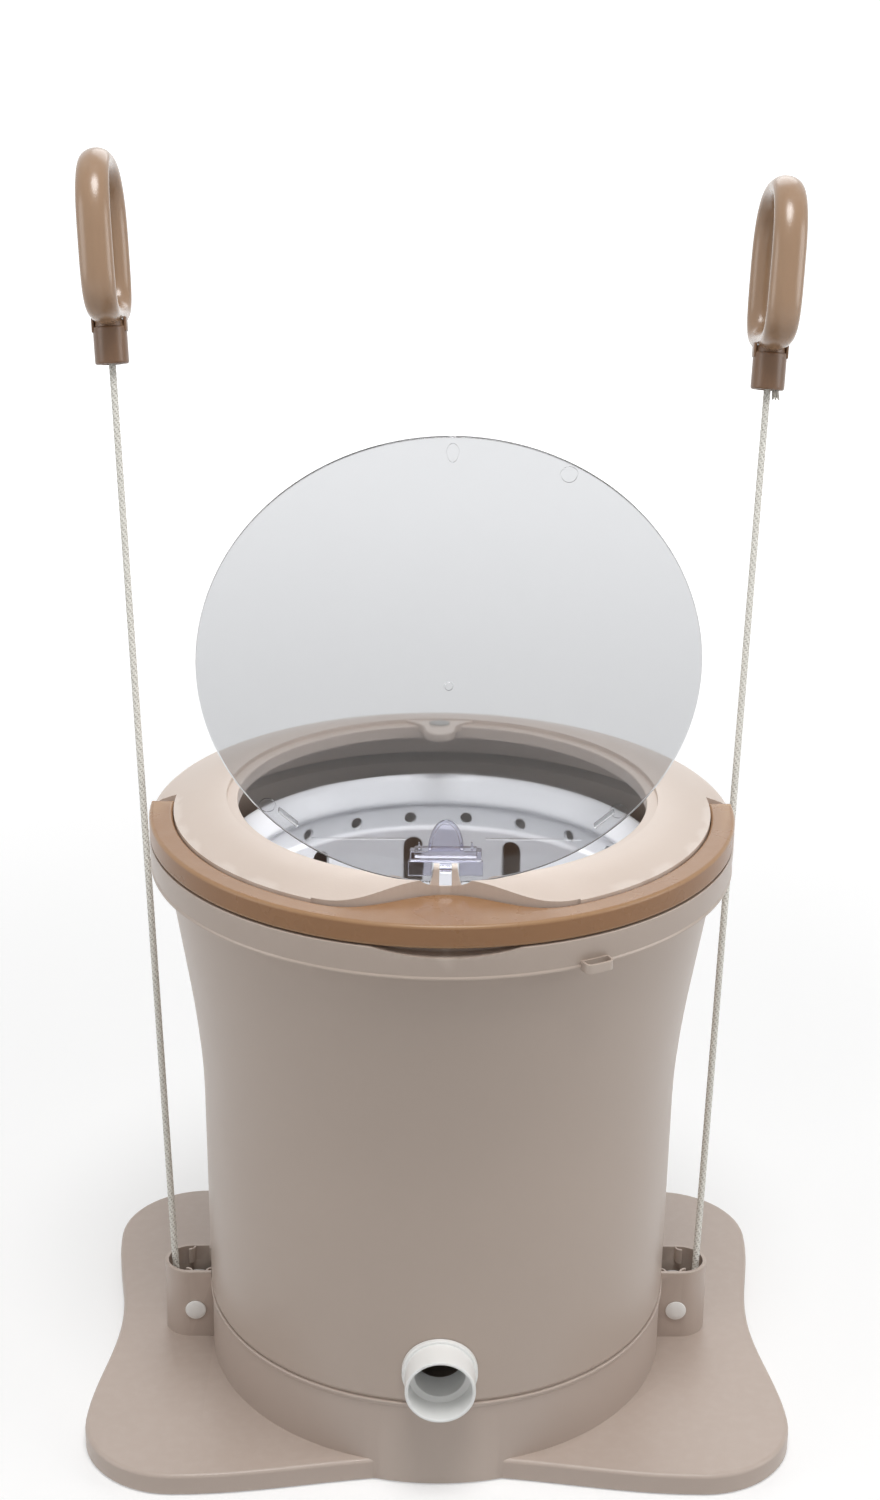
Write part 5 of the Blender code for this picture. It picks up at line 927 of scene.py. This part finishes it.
# ---- carrying bail
def makeBail():
    b = bailShape
    steps = 120
    endTurn = math.asin(b["pivotY"] / b["outer"])
    outline = []
    for i in range(steps + 1):
        turn = endTurn - (math.pi + 2 * endTurn) * i / steps
        outline.append((b["outer"] * math.cos(turn), b["outer"] * math.sin(turn)))
    wave = waveOutline(0.0, b["outer"])[:41]
    waveStart = math.asin(b["gripHalf"] / b["inner"])
    endInner = math.asin(b["pivotY"] / b["inner"])
    sweepAngle = math.pi / 2 + endInner - waveStart
    sideSteps = 36
    for i in range(sideSteps):
        turn = math.pi - endInner + sweepAngle * i / sideSteps
        outline.append((b["inner"] * math.cos(turn), b["inner"] * math.sin(turn)))
    outline += wave
    for i in range(sideSteps):
        turn = -math.pi / 2 + waveStart + sweepAngle * (i + 1) / sideSteps
        outline.append((b["inner"] * math.cos(turn), b["inner"] * math.sin(turn)))
    bail = slab("carryBail", outline, b["low"], b["top"], b["round"], 4)
    for side in (-1, 1):
        ends = sorted((side * b["inner"], side * b["outer"]))
        joinOn(bail, rod("bailEnd", b["endRadius"], (ends[0] + gap, b["pivotY"], b["pivotZ"]),
                         (ends[1] - gap, b["pivotY"], b["pivotZ"]), edge=0.0008))
        cutAway(bail, rod("bailBore", b["pinRadius"] + gap, (side * (b["inner"] - 0.004), b["pivotY"], b["pivotZ"]),
                          (side * (b["pinOuter"] + gap), b["pivotY"], b["pivotZ"]), 24))
    place(bail, "bail", mats["tan"], ["carry_bail"], "tan_plastic", angle=30, level=True)
    for side, word in ((-1, "left"), (1, "right")):
        place(rod(word + "BailPin", b["pinRadius"], (side * (b["pinInner"] + gap), b["pivotY"], b["pivotZ"]),
                  (side * b["pinOuter"], b["pivotY"], b["pivotZ"]), 24, edge=0.0003),
              "base", mats["steel"], ["bail_pin_" + word], "steel")


makeBail()
print("bail made")

# ---- lid: clear disc with its moulded marks, and the block it hinges on
lidShape = {
    "radius": 0.1142, "thick": 0.002, "chordReach": 0.0635, "footDeep": 0.0036, "edge": 0.0006,
    "open": math.radians(99.7), "slotHalf": 0.0062, "slotDeep": 0.0116, "stemHalf": 0.0025, "blockHalf": 0.017,
    "blockLong": 0.009, "blockDeep": 0.008, "lugHalf": 0.0086, "lugLong": 0.0212, "lugThick": 0.0016, "lugWeb": 0.0006,
    "ejectorRadius": 0.0037, "ejectors": ((50.4, 97.0), (-83.4, -71.2), (80.1, -73.6)), "chordY": -0.0901,
    "gateY": -0.0077, "dropY": 0.1065, "clipX": 0.0740, "clipY": -0.0793, "padNear": 0.0066, "padFar": 0.0178,
}
lidUnder = ringShape["ledgeZ"] + gap + lidShape["footDeep"]


def swung(piece):
    # modelled shut, then turned to where the photograph has it
    hinge = Vector((0, ringShape["hingeY"], ringShape["hingeZ"]))
    piece.data.transform(Matrix.Translation(hinge) @ Matrix.Rotation(lidShape["open"], 4, "X")
                         @ Matrix.Translation(-hinge))
    return piece


def raisedRing(name, radius, height, x, y, stretch=1.0):
    # a faint moulded ring on the lid's outer face
    ring = lathe(name, [(radius + 0.0004, height - 0.0003), (radius + 0.00025, height + 0.0003),
                        (radius - 0.00025, height + 0.0003), (radius - 0.0004, height - 0.0003)], 40)
    ring.data.transform(Matrix.Translation((x, y, 0)) @ Matrix.Diagonal((1, stretch, 1, 1)))
    return ring


def makeLid():
    d, r = lidShape, ringShape
    top = lidUnder + d["thick"]
    foot = lidUnder - d["footDeep"]
    disc = lathe("lidDisc", softened([(0, top), (d["radius"], top, d["edge"]), (d["radius"], lidUnder, d["edge"]),
                                      (0, lidUnder)], closed=False), 176, closed=False)
    slotEnd = -d["radius"] + d["slotDeep"]
    marks = []
    for x, y in d["ejectors"]:
        marks.append(raisedRing("ejector", d["ejectorRadius"], top, x * mm, y * mm))
    marks.append(raisedRing("gate", d["ejectorRadius"] * 0.55, top, 0, d["gateY"]))
    marks.append(raisedRing("drop", d["ejectorRadius"] * 0.7, top, 0, d["dropY"], 1.7))
    for side in (-1, 1):
        ends = sorted((side * (d["blockHalf"] + 0.0016), side * d["chordReach"]))
        marks.append(box("chord", (ends[0], d["chordY"] - 0.0003, lidUnder - 0.0004), (ends[1], d["chordY"] + 0.0003, lidUnder + 0.0003)))
        clip = box("clip", (-0.006, -0.0005, foot), (0.006, 0.0005, lidUnder + 0.0003), 0.0002)
        clip.data.transform(Matrix.Translation((side * d["clipX"], d["clipY"], 0)) @ Matrix.Rotation(side * 0.75, 4, "Z"))
        marks.append(clip)
    joinOn(disc, *marks)
    cutAway(disc,
            box("slot", (-d["slotHalf"], -d["radius"] - 0.004, foot - 0.004), (d["slotHalf"], slotEnd, top + 0.004)))
    place(swung(disc), "lid", mats["clear"], ["lid"], "clear_plastic", angle=30, level=True)
    back = r["hingeY"] + d["blockLong"]
    near = r["hingeY"] + r["earRadius"] + gap
    block = box("hingeBlock", (-d["blockHalf"], near, lidUnder - d["blockDeep"] * 0.55), (d["blockHalf"], back, lidUnder - gap), 0.0007)
    joinOn(block, box("blockStep", (-d["blockHalf"] + 0.0022, near + 0.0012, lidUnder - d["blockDeep"]),
                      (d["blockHalf"] - 0.0022, back - 0.0014, lidUnder - d["blockDeep"] * 0.5), 0.0005))
    for side in (-1, 1):
        ends = sorted((side * d["padNear"], side * d["padFar"]))
        joinOn(block, box("pad", (ends[0], -d["radius"] + 0.0030, lidUnder - gap - 0.0013), (ends[1], near + 0.001, lidUnder - gap), 0.0004))
    stem = box("stem", (-d["stemHalf"], r["hingeY"], lidUnder - gap - d["blockDeep"] / 3),
               (d["stemHalf"], back - gap, lidUnder + d["thick"] / 2 - 0.0002))
    knuckle = rod("knuckle", r["earRadius"], (-d["stemHalf"], r["hingeY"], r["hingeZ"]), (d["stemHalf"], r["hingeY"], r["hingeZ"]), 32)
    start = back - 0.004
    outline = [(d["lugHalf"] * math.cos(math.pi * i / 32), start + d["lugLong"] * math.sin(math.pi * i / 32) ** 0.8) for i in range(33)]
    lug = slab("lug", outline, lidUnder - gap - d["lugThick"], lidUnder - gap, 0.0005)
    web = [(x * 0.8, start + 0.002 + (y - start) * 0.82) for x, y in outline]
    cutAway(lug, slab("lugWeb", web, lidUnder - gap - d["lugThick"] - 0.004, lidUnder - gap - d["lugWeb"], 0.0003))
    joinOn(block, stem, knuckle, lug)
    ribs = [box("rib", (x - 0.0005, back - 0.0004, lidUnder - d["blockDeep"] + 0.001),
                (x + 0.0005, back + 0.0012, lidUnder - gap - 0.001)) for x in (-0.0125, -0.0075, 0.0075, 0.0125)]
    joinOn(block, *ribs)
    cutAway(block, box("topTrim", (-d["blockHalf"] - 0.004, slotEnd - gap, lidUnder - gap),
                       (d["blockHalf"] + 0.004, back + 0.04, top + 0.004)),
            rod("bore", r["hingePin"] + gap, (-r["recessHalf"], r["hingeY"], r["hingeZ"]), (r["recessHalf"], r["hingeY"], r["hingeZ"]), 24))
    place(swung(block), "lid", mats["bluish"], ["lid_hinge_block"], "bluish_plastic", angle=30, level=True)


makeLid()
print("lid made")

# ---- basket and its rim
bowl = {
    "top": 0.2847, "topRadius": 0.112, "footRadius": 0.1065, "footZ": 0.072, "bottom": 0.058, "flatRadius": 0.098,
    "wall": 0.0022, "coneFoot": 0.026, "coneTop": 0.0165, "coneTopZ": 0.100, "coneUnder": 0.097, "bore": 0.0053,
    "holes": 22, "holeZ": 0.2765, "holeRadius": 0.0034, "slots": 12, "rows": 3, "slotWidth": 0.011, "slotHigh": 0.034,
    "slotTop": 0.266, "slotPitch": 0.056, "rimLip": 0.1145, "rimOuter": 0.118, "rimTop": 0.301, "rimLow": 0.2812,
    "grooveLow": 0.2716, "bandRadius": 0.1098, "rollRadius": 0.1066,
}


def bowlRadius(z):
    b = bowl
    return b["footRadius"] + (b["topRadius"] - b["footRadius"]) * (z - b["footZ"]) / (b["top"] - b["footZ"])


def makeBasket():
    b = bowl
    wall = b["wall"]
    shell = lathe("basketShell", softened([
        (b["topRadius"], b["top"], 0.0004), (b["topRadius"], b["grooveLow"] - wall, 0.0012),
        (b["bandRadius"], b["grooveLow"] - 1.6 * wall, 0.0012), (b["footRadius"], b["footZ"], 0.008), (b["flatRadius"], b["bottom"], 0.006),
        (b["coneFoot"] - wall, b["bottom"], 0.004), (b["coneTop"] - wall, b["coneUnder"], 0.002), (b["bore"], b["coneUnder"]),
        (b["bore"], b["coneTopZ"]), (b["coneTop"], b["coneTopZ"], 0.002), (b["coneFoot"], b["bottom"] + wall, 0.006),
        (b["flatRadius"] - wall / 2, b["bottom"] + wall, 0.006), (b["footRadius"] - wall, b["footZ"] + wall / 2, 0.008),
        (b["bandRadius"] - wall, b["grooveLow"] - wall / 2, 0.0012), (b["topRadius"] - wall, b["grooveLow"], 0.0012),
        (b["topRadius"] - wall, b["top"], 0.0004)]), 176)
    tools = []
    for i in range(b["holes"]):
        turn = math.pi / 2 + math.pi / b["holes"] + math.tau * i / b["holes"]
        out = bowlRadius(b["holeZ"])
        x, y = math.cos(turn), math.sin(turn)
        tools.append(rod("hole", b["holeRadius"], (x * (out - 0.008), y * (out - 0.008), b["holeZ"]),
                         (x * (out + 0.004), y * (out + 0.004), b["holeZ"]), 24))
    half = b["slotWidth"] / 2
    straight = b["slotHigh"] / 2 - half
    outline = [(half * math.cos(math.pi * i / 10), straight + half * math.sin(math.pi * i / 10)) for i in range(11)]
    outline += [(-x, -y) for x, y in outline]
    stand = Matrix(((0, 0, 1, 0), (1, 0, 0, 0), (0, 1, 0, 0), (0, 0, 0, 1)))
    for row in range(b["rows"]):
        centreZ = b["slotTop"] - b["slotHigh"] / 2 - b["slotPitch"] * row
        for i in range(b["slots"]):
            turn = math.pi / 2 + math.pi / b["slots"] * (0.5 + row % 2) + math.tau * i / b["slots"]
            tool = slab("slot", outline, b["footRadius"] - 0.008, b["topRadius"] + 0.004)
            tool.data.transform(Matrix.Rotation(turn, 4, "Z") @ Matrix.Translation((0, 0, centreZ)) @ stand)
            tools.append(tool)
    cutAway(shell, together("basketHoles", tools))
    place(shell, "spinner", mats["basket"], ["basket"], "white_plastic", angle=30, level=True)
    snap, seat = b["topRadius"] + gap, b["top"] + gap
    rim = lathe("basketRim", softened([
        (b["rimLip"] + gap, b["rimTop"], 0.001), (b["rimOuter"], b["rimTop"] - wall, 0.0012),
        (b["rimOuter"], b["rimTop"] - 2 * wall, 0.0006), (snap + wall, seat + wall, 0.001), (snap + wall, b["rimLow"], 0.0006),
        (snap, b["rimLow"], 0.0004), (snap, seat), (b["rollRadius"] + 0.001, seat, 0.0008), (b["rollRadius"], seat + wall, 0.002),
        (b["rollRadius"] + 0.0012, seat + 2.4 * wall, 0.003), (b["rimLip"] - wall, b["rimTop"] - wall, 0.003)]), 176)
    place(rim, "spinner", mats["basket"], ["basket_rim"], "white_plastic", angle=30)


makeBasket()
print("basket made")

# ---- rope rollers' pins with their white domed caps
caps = {"radius": 0.0057, "high": 0.0016}


def makePins():
    p = plate
    for side, word in ((-1, "left"), (1, "right")):
        front = p["towerHalf"] + gap
        pin = lathe(word + "PinCap", softened([
            (0, front + caps["high"]), (caps["radius"] * 0.55, front + caps["high"] * 0.93, 0.0012),
            (caps["radius"], front + caps["high"] * 0.45, 0.001), (caps["radius"], front, 0.0003), (p["pinRadius"], front),
            (p["pinRadius"], -p["towerHalf"], 0.0004), (0, -p["towerHalf"])], closed=False), 48, closed=False)
        pin.data.transform(Matrix.Translation((side * p["rollerX"], p["towerY"], p["rollerZ"]))
                           @ Matrix.Rotation(math.pi / 2, 4, "X"))
        place(pin, "base", mats["cap"], [word + "_roller_pin"], "white_plastic")
        roller = lathe(word + "RollerWheel", softened([
            (0.0108, 0.0092, 0.0004), (0.0108, 0.0076, 0.0004), (0.0084, 0.006, 0.0012), (0.0084, -0.006, 0.0012),
            (0.0108, -0.0076, 0.0004), (0.0108, -0.0092, 0.0004), (0.0028, -0.0092, 0.0003), (0.0028, 0.0092, 0.0003)]), 64)
        roller.data.transform(Matrix.Translation((side * p["rollerX"], p["towerY"], p["rollerZ"]))
                              @ Matrix.Rotation(math.pi / 2, 4, "X"))
        place(roller, word + "_roller", mats["white"], [word + "_roller"], "white_plastic")


makePins()
print("rollers and caps made")

# ---- pull grips: a hub with the rope's knot in it and a loop of two leaning legs
grips = {
    "hubRadius": 0.0091, "hubHigh": 0.020, "hubRound": 0.0016, "floor": 0.0025, "mouth": 0.0060, "cavity": 0.0068,
    "cavityTop": 0.0165, "stud": 0.0045, "studHigh": 0.009, "knot": 0.0062, "loopHalf": 0.035, "loopHigh": 0.0808,
    "bar": 0.006, "flatten": 1.5, "tailAt": 0.0041, "tailSplay": 0.0009, "tailLong": 0.0075, "shoulderNear": 0.0078, "shoulderFar": 0.0094,
    "shoulderHalf": 0.0036, "shoulderHigh": 0.0048, "squareLow": 4.2, "squareHigh": 2.5, "collar": 0.0032, "sunk": 0.0,
}


def evenly(points, count):
    # the same closed line with its points spaced alike
    ends = points + points[:1]
    lengths = [0.0]
    for near, far in zip(ends, ends[1:]):
        lengths.append(lengths[-1] + (far - near).length)
    out, at = [], 0
    for i in range(count):
        want = lengths[-1] * i / count
        while lengths[at + 1] < want:
            at += 1
        out.append(ends[at].lerp(ends[at + 1], (want - lengths[at]) / max(lengths[at + 1] - lengths[at], 1e-9)))
    return out


def gripFrame(side):
    hub = ropes[side + "Hub"]
    up = (hub - ropes[side + "Turn"]).normalized()
    across = Vector((0, 1, 0)).cross(up).normalized()
    along = up.cross(across).normalized()
    return Matrix.Translation(hub) @ Matrix((across, along, up)).transposed().to_4x4()


def makeGrip(side):
    g = grips
    body = side + "_grip"
    stand = gripFrame(side)
    radius, high = g["hubRadius"], g["hubHigh"]
    hub = lathe(side + "Hub", softened([
        (g["stud"], high + g["studHigh"], 0.0004), (g["stud"], high), (radius, high, 0.0012), (radius, 0, g["hubRound"]),
        (g["mouth"], 0, 0.0003), (g["mouth"], g["floor"]), (g["cavity"], g["floor"]), (g["cavity"], g["cavityTop"]),
        (ropes["radius"], g["cavityTop"]), (ropes["radius"], high + g["studHigh"])]), 64)
    joinOn(hub, lathe("collar", [(radius - 0.0009, high - 0.001), (radius - 0.0013, high + g["collar"]),
                                 (g["stud"] - 0.0006, high + g["collar"]), (g["stud"] - 0.0006, high - 0.001)], 64))
    for way in (-1, 1):
        ends = sorted((way * g["shoulderNear"], way * g["shoulderFar"]))
        joinOn(hub, box("shoulder", (ends[0], -g["shoulderHalf"], high - 0.003), (ends[1], g["shoulderHalf"], high + g["shoulderHigh"]), 0.0006))
    hub.data.transform(stand)
    place(hub, body, mats["hub"], [side + "_grip_hub"], "brown_plastic", angle=30)
    ball = [(g["knot"] * math.sin(math.pi * i / 16), g["floor"] + gap + g["knot"] * (1 - math.cos(math.pi * i / 16)))
            for i in range(16, -1, -1)]
    ball[0], ball[-1] = (0, ball[0][1]), (0, ball[-1][1])
    knot = lathe(side + "Knot", ball, 40, closed=False)
    knot.data.transform(stand)
    place(knot, body, mats["knot"], [side + "_rope_knot"], "rope")
    # the loop's bar is broad where the fingers hold it and sits in the hub's collar
    low = high + gap + g["bar"] - g["sunk"]
    centre = low + g["loopHigh"] / 2
    dense = []
    for i in range(2400):
        turn = math.tau * i / 2400 - math.pi / 2
        x, y = math.cos(turn), math.sin(turn)
        square = 2 / (g["squareLow"] if y < 0 else g["squareHigh"])
        dense.append(Vector((0, g["loopHalf"] * math.copysign(abs(x) ** square, x),
                             centre + g["loopHigh"] / 2 * math.copysign(abs(y) ** square, y))))
    path = evenly(dense, 144)
    loops = []
    for i, point in enumerate(path):
        ahead = (path[(i + 1) % len(path)] - path[i - 1]).normalized()
        inward = Vector((1, 0, 0)).cross(ahead).normalized()
        breadth = g["bar"] * g["flatten"] * (0.88 + 0.12 * min(1, abs(point.y) / g["loopHalf"]))
        loops.append([point + Vector((1, 0, 0)) * breadth * math.cos(math.tau * k / 40)
                      + inward * g["bar"] * math.sin(math.tau * k / 40) for k in range(40)])
    loop = loft(side + "Loop", loops, ringed=True)
    cutAway(loop, rod("studHole", g["stud"] + gap, (0, 0, high - 0.004), (0, 0, high + g["studHigh"] + gap), 48))
    loop.data.transform(stand)
    place(loop, body, mats["grip"], [side + "_grip_loop"], "tan_plastic", angle=40)
    if side == "right":
        strands = []
        for k in range(7):
            turn = math.tau * k / 6
            x = 0.0 if k == 6 else 0.0011 * math.cos(turn)
            y = 0.0 if k == 6 else 0.0011 * math.sin(turn)
            end = Vector((g["tailAt"] + g["tailSplay"] + x * 1.6, y * 1.6, g["floor"] - g["tailLong"] + 0.0012 * ((k * 5) % 3) / 2))
            strands.append(rod("strand", 0.00055, (g["tailAt"] + x, y, g["floor"]), end, 12, endRadius=0.0004, edge=0.0002))
        tail = together("ropeTail", strands)
        tail.data.transform(stand)
        place(tail, body, mats["knot"], ["right_rope_tail"], "rope")


for side in ("left", "right"):
    makeGrip(side)
print("grips made")

# ---- rope inside: the run under each roller, and the turns left on each spool
inside = {"rollerReach": 0.0106, "spoolReach": 0.0322, "winding": 0.0344, "leftZ": 0.0131, "rightZ": 0.0289,
          "turns": 2, "pitch": 0.0039}


def innerPath(side):
    sign = -1 if side == "left" else 1
    reach = inside["rollerReach"]
    wheelX, wheelZ, y = plate["rollerX"], plate["rollerZ"], ropes["leftTurn"].y
    path = [Vector((sign * (wheelX + reach), y, wheelZ - ropes["radius"]))]
    for i in range(2, 21):
        turn = -math.pi / 2 * i / 20
        path.append(Vector((sign * (wheelX + reach * math.cos(turn)), y, wheelZ + reach * math.sin(turn))))
    start = path[-1]
    spool = inside["spoolReach"]
    spot = math.atan2(start.y, start.x) - math.acos(spool / math.hypot(start.x, start.y))
    end = Vector((spool * math.cos(spot), spool * math.sin(spot), inside[side + "Z"]))
    stop = end + (start - end).normalized() * (math.sqrt(inside["winding"] ** 2 - (spool - ropes["radius"]) ** 2) + gap)
    for i in range(1, 61):
        share = i / 60
        ease = share * share * (3 - 2 * share)
        here = start.lerp(stop, share)
        path.append(Vector((here.x, here.y, start.z + (stop.z - start.z) * ease)))
    return path


def makeInnerRopes():
    for side in ("left", "right"):
        run = sweep(side + "RopeInside", innerPath(side), strandSection(ropes["radius"], steps=16), twist=260.0, uv=True,
                    startSide=(0, 1, 0.01))
        place(run, "base", mats["rope"], [side + "_rope_inner"], "rope")
        middle, count = inside[side + "Z"], 160
        helix = [Vector((inside["spoolReach"] * math.cos(math.tau * inside["turns"] * i / count),
                         inside["spoolReach"] * math.sin(math.tau * inside["turns"] * i / count),
                         middle + inside["pitch"] * inside["turns"] * (i / count - 0.5) * 0.5)) for i in range(count + 1)]
        coil = sweep(side + "RopeWound", helix, strandSection(ropes["radius"] * 0.97, steps=16), twist=260.0, uv=True,
                     startSide=(0, 0, 1))
        place(coil, side + "_spool", mats["rope"], [side + "_winding"], "rope")


makeInnerRopes()
print("inner ropes made")


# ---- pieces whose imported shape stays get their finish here
def finishKept():
    looks = {
        "taupe": ["bottom_cover"],
        "grey": ["mechanism_plate"],
        "rubber": ["foot_pad_front_left", "foot_pad_front_right", "foot_pad_rear_left", "foot_pad_rear_right", "shaft_seal"],
        "steel": ["cover_screw_%d" % i for i in range(1, 5)] + ["tub_screw_%d" % i for i in range(1, 5)] +
                 ["drive_shaft", "left_clutch", "right_clutch", "left_recoil_spring", "right_recoil_spring"],
        "bronze": ["lower_bush", "upper_bush"],
        "white": ["left_spool", "right_spool", "basket_nut"],
    }
    for look, nodes in looks.items():
        for node in nodes:
            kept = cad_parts[node]
            kept.data.materials.clear()
            kept.data.materials.append(mats[look])


finishKept()
print("kept pieces finished")

# ---- floor, world and studio lamps
studio = {
    "floor": 30.0, "floorDrop": 0.0002, "floorColour": "#D6D6D6", "worldLight": 0.32, "glowNear": 0.36, "glowFar": 1.0, "nearEdge": 0.35,
    "farEdge": 2.4,
    "lamps": (("topLamp", (0.1, -0.85, 2.6), 1.1, 34.0), ("leftLamp", (-1.9, -0.5, 0.9), 1.2, 6.5),
              ("rightLamp", (1.9, -0.4, 0.9), 1.2, 9.5), ("backLamp", (0.2, 1.7, 1.6), 1.4, 6.0)),
    "insideLamp": ((0.0, -1.4, 1.9), 0.8, 25.0), "insideLit": ("basketShell", "basketRim"),
}


def seenOnly(tree):
    # one for rays that come from the eye, a mirror or through glass
    ray = addNode(tree, "ShaderNodeLightPath")
    sight = addNode(tree, "ShaderNodeMath", {0: ray.outputs["Is Camera Ray"], 1: ray.outputs["Is Transmission Ray"]},
                    operation="MAXIMUM")
    return addNode(tree, "ShaderNodeMath", {0: sight.outputs[0], 1: ray.outputs["Is Glossy Ray"]}, operation="MAXIMUM")


def addLamp(name, spot, size, power):
    data = bpy.data.lights.new(name, "AREA")
    data.shape = "DISK"
    data.size = size
    data.energy = power
    lamp = bpy.data.objects.new(name, data)
    lamp.location = spot
    lamp.rotation_euler = (Vector((0, 0, 0.25)) - Vector(spot)).to_track_quat("-Z", "Y").to_euler()
    bpy.context.scene.collection.objects.link(lamp)
    return lamp


def makeStudio():
    work = bmesh.new()
    bmesh.ops.create_grid(work, x_segments=1, y_segments=1, size=studio["floor"])
    bmesh.ops.translate(work, verts=work.verts, vec=(0, 0, -studio["floorDrop"]))
    floor = newPiece("studioFloor", work)
    made, tree, shader = newMaterial("studioFloor")
    shader.inputs["Base Color"].default_value = tint(studio["floorColour"])
    shader.inputs["Roughness"].default_value = 0.9
    shader.inputs["Specular IOR Level"].default_value = 0.1
    shader.inputs["Emission Color"].default_value = (1, 1, 1, 1)
    spot = addNode(tree, "ShaderNodeTexCoord")
    away = addNode(tree, "ShaderNodeVectorMath", {0: spot.outputs["Object"]}, operation="LENGTH")
    glow = addNode(tree, "ShaderNodeMapRange", {"Value": away.outputs["Value"], "From Min": studio["nearEdge"],
                                                "From Max": studio["farEdge"], "To Min": studio["glowNear"],
                                                "To Max": studio["glowFar"]}, interpolation_type="SMOOTHSTEP")
    shown = addNode(tree, "ShaderNodeMath", {0: seenOnly(tree).outputs[0], 1: glow.outputs[0]}, operation="MULTIPLY")
    tree.links.new(shown.outputs[0], shader.inputs["Emission Strength"])
    floor.data.materials.append(made)
    world = bpy.data.worlds.new("studioWorld")
    bpy.context.scene.world = world
    world.use_nodes = True
    tree = world.node_tree
    back = tree.nodes["Background"]
    level = addNode(tree, "ShaderNodeMapRange", {"Value": seenOnly(tree).outputs[0], "To Min": studio["worldLight"],
                                                 "To Max": 1.0})
    tree.links.new(level.outputs[0], back.inputs["Strength"])
    back.inputs["Color"].default_value = (1, 1, 1, 1)
    for name, spot, size, power in studio["lamps"]:
        addLamp(name, spot, size, power)
    # the pale inside of the basket gets a lamp of its own
    inside = addLamp("insideLamp", *studio["insideLamp"])
    lit = bpy.data.collections.new("insideLit")
    for name in studio["insideLit"]:
        lit.objects.link(bpy.data.objects[name])
    inside.light_linking.receiver_collection = lit
    bpy.context.scene.view_settings.view_transform = "Standard"


makeStudio()
print("studio set")
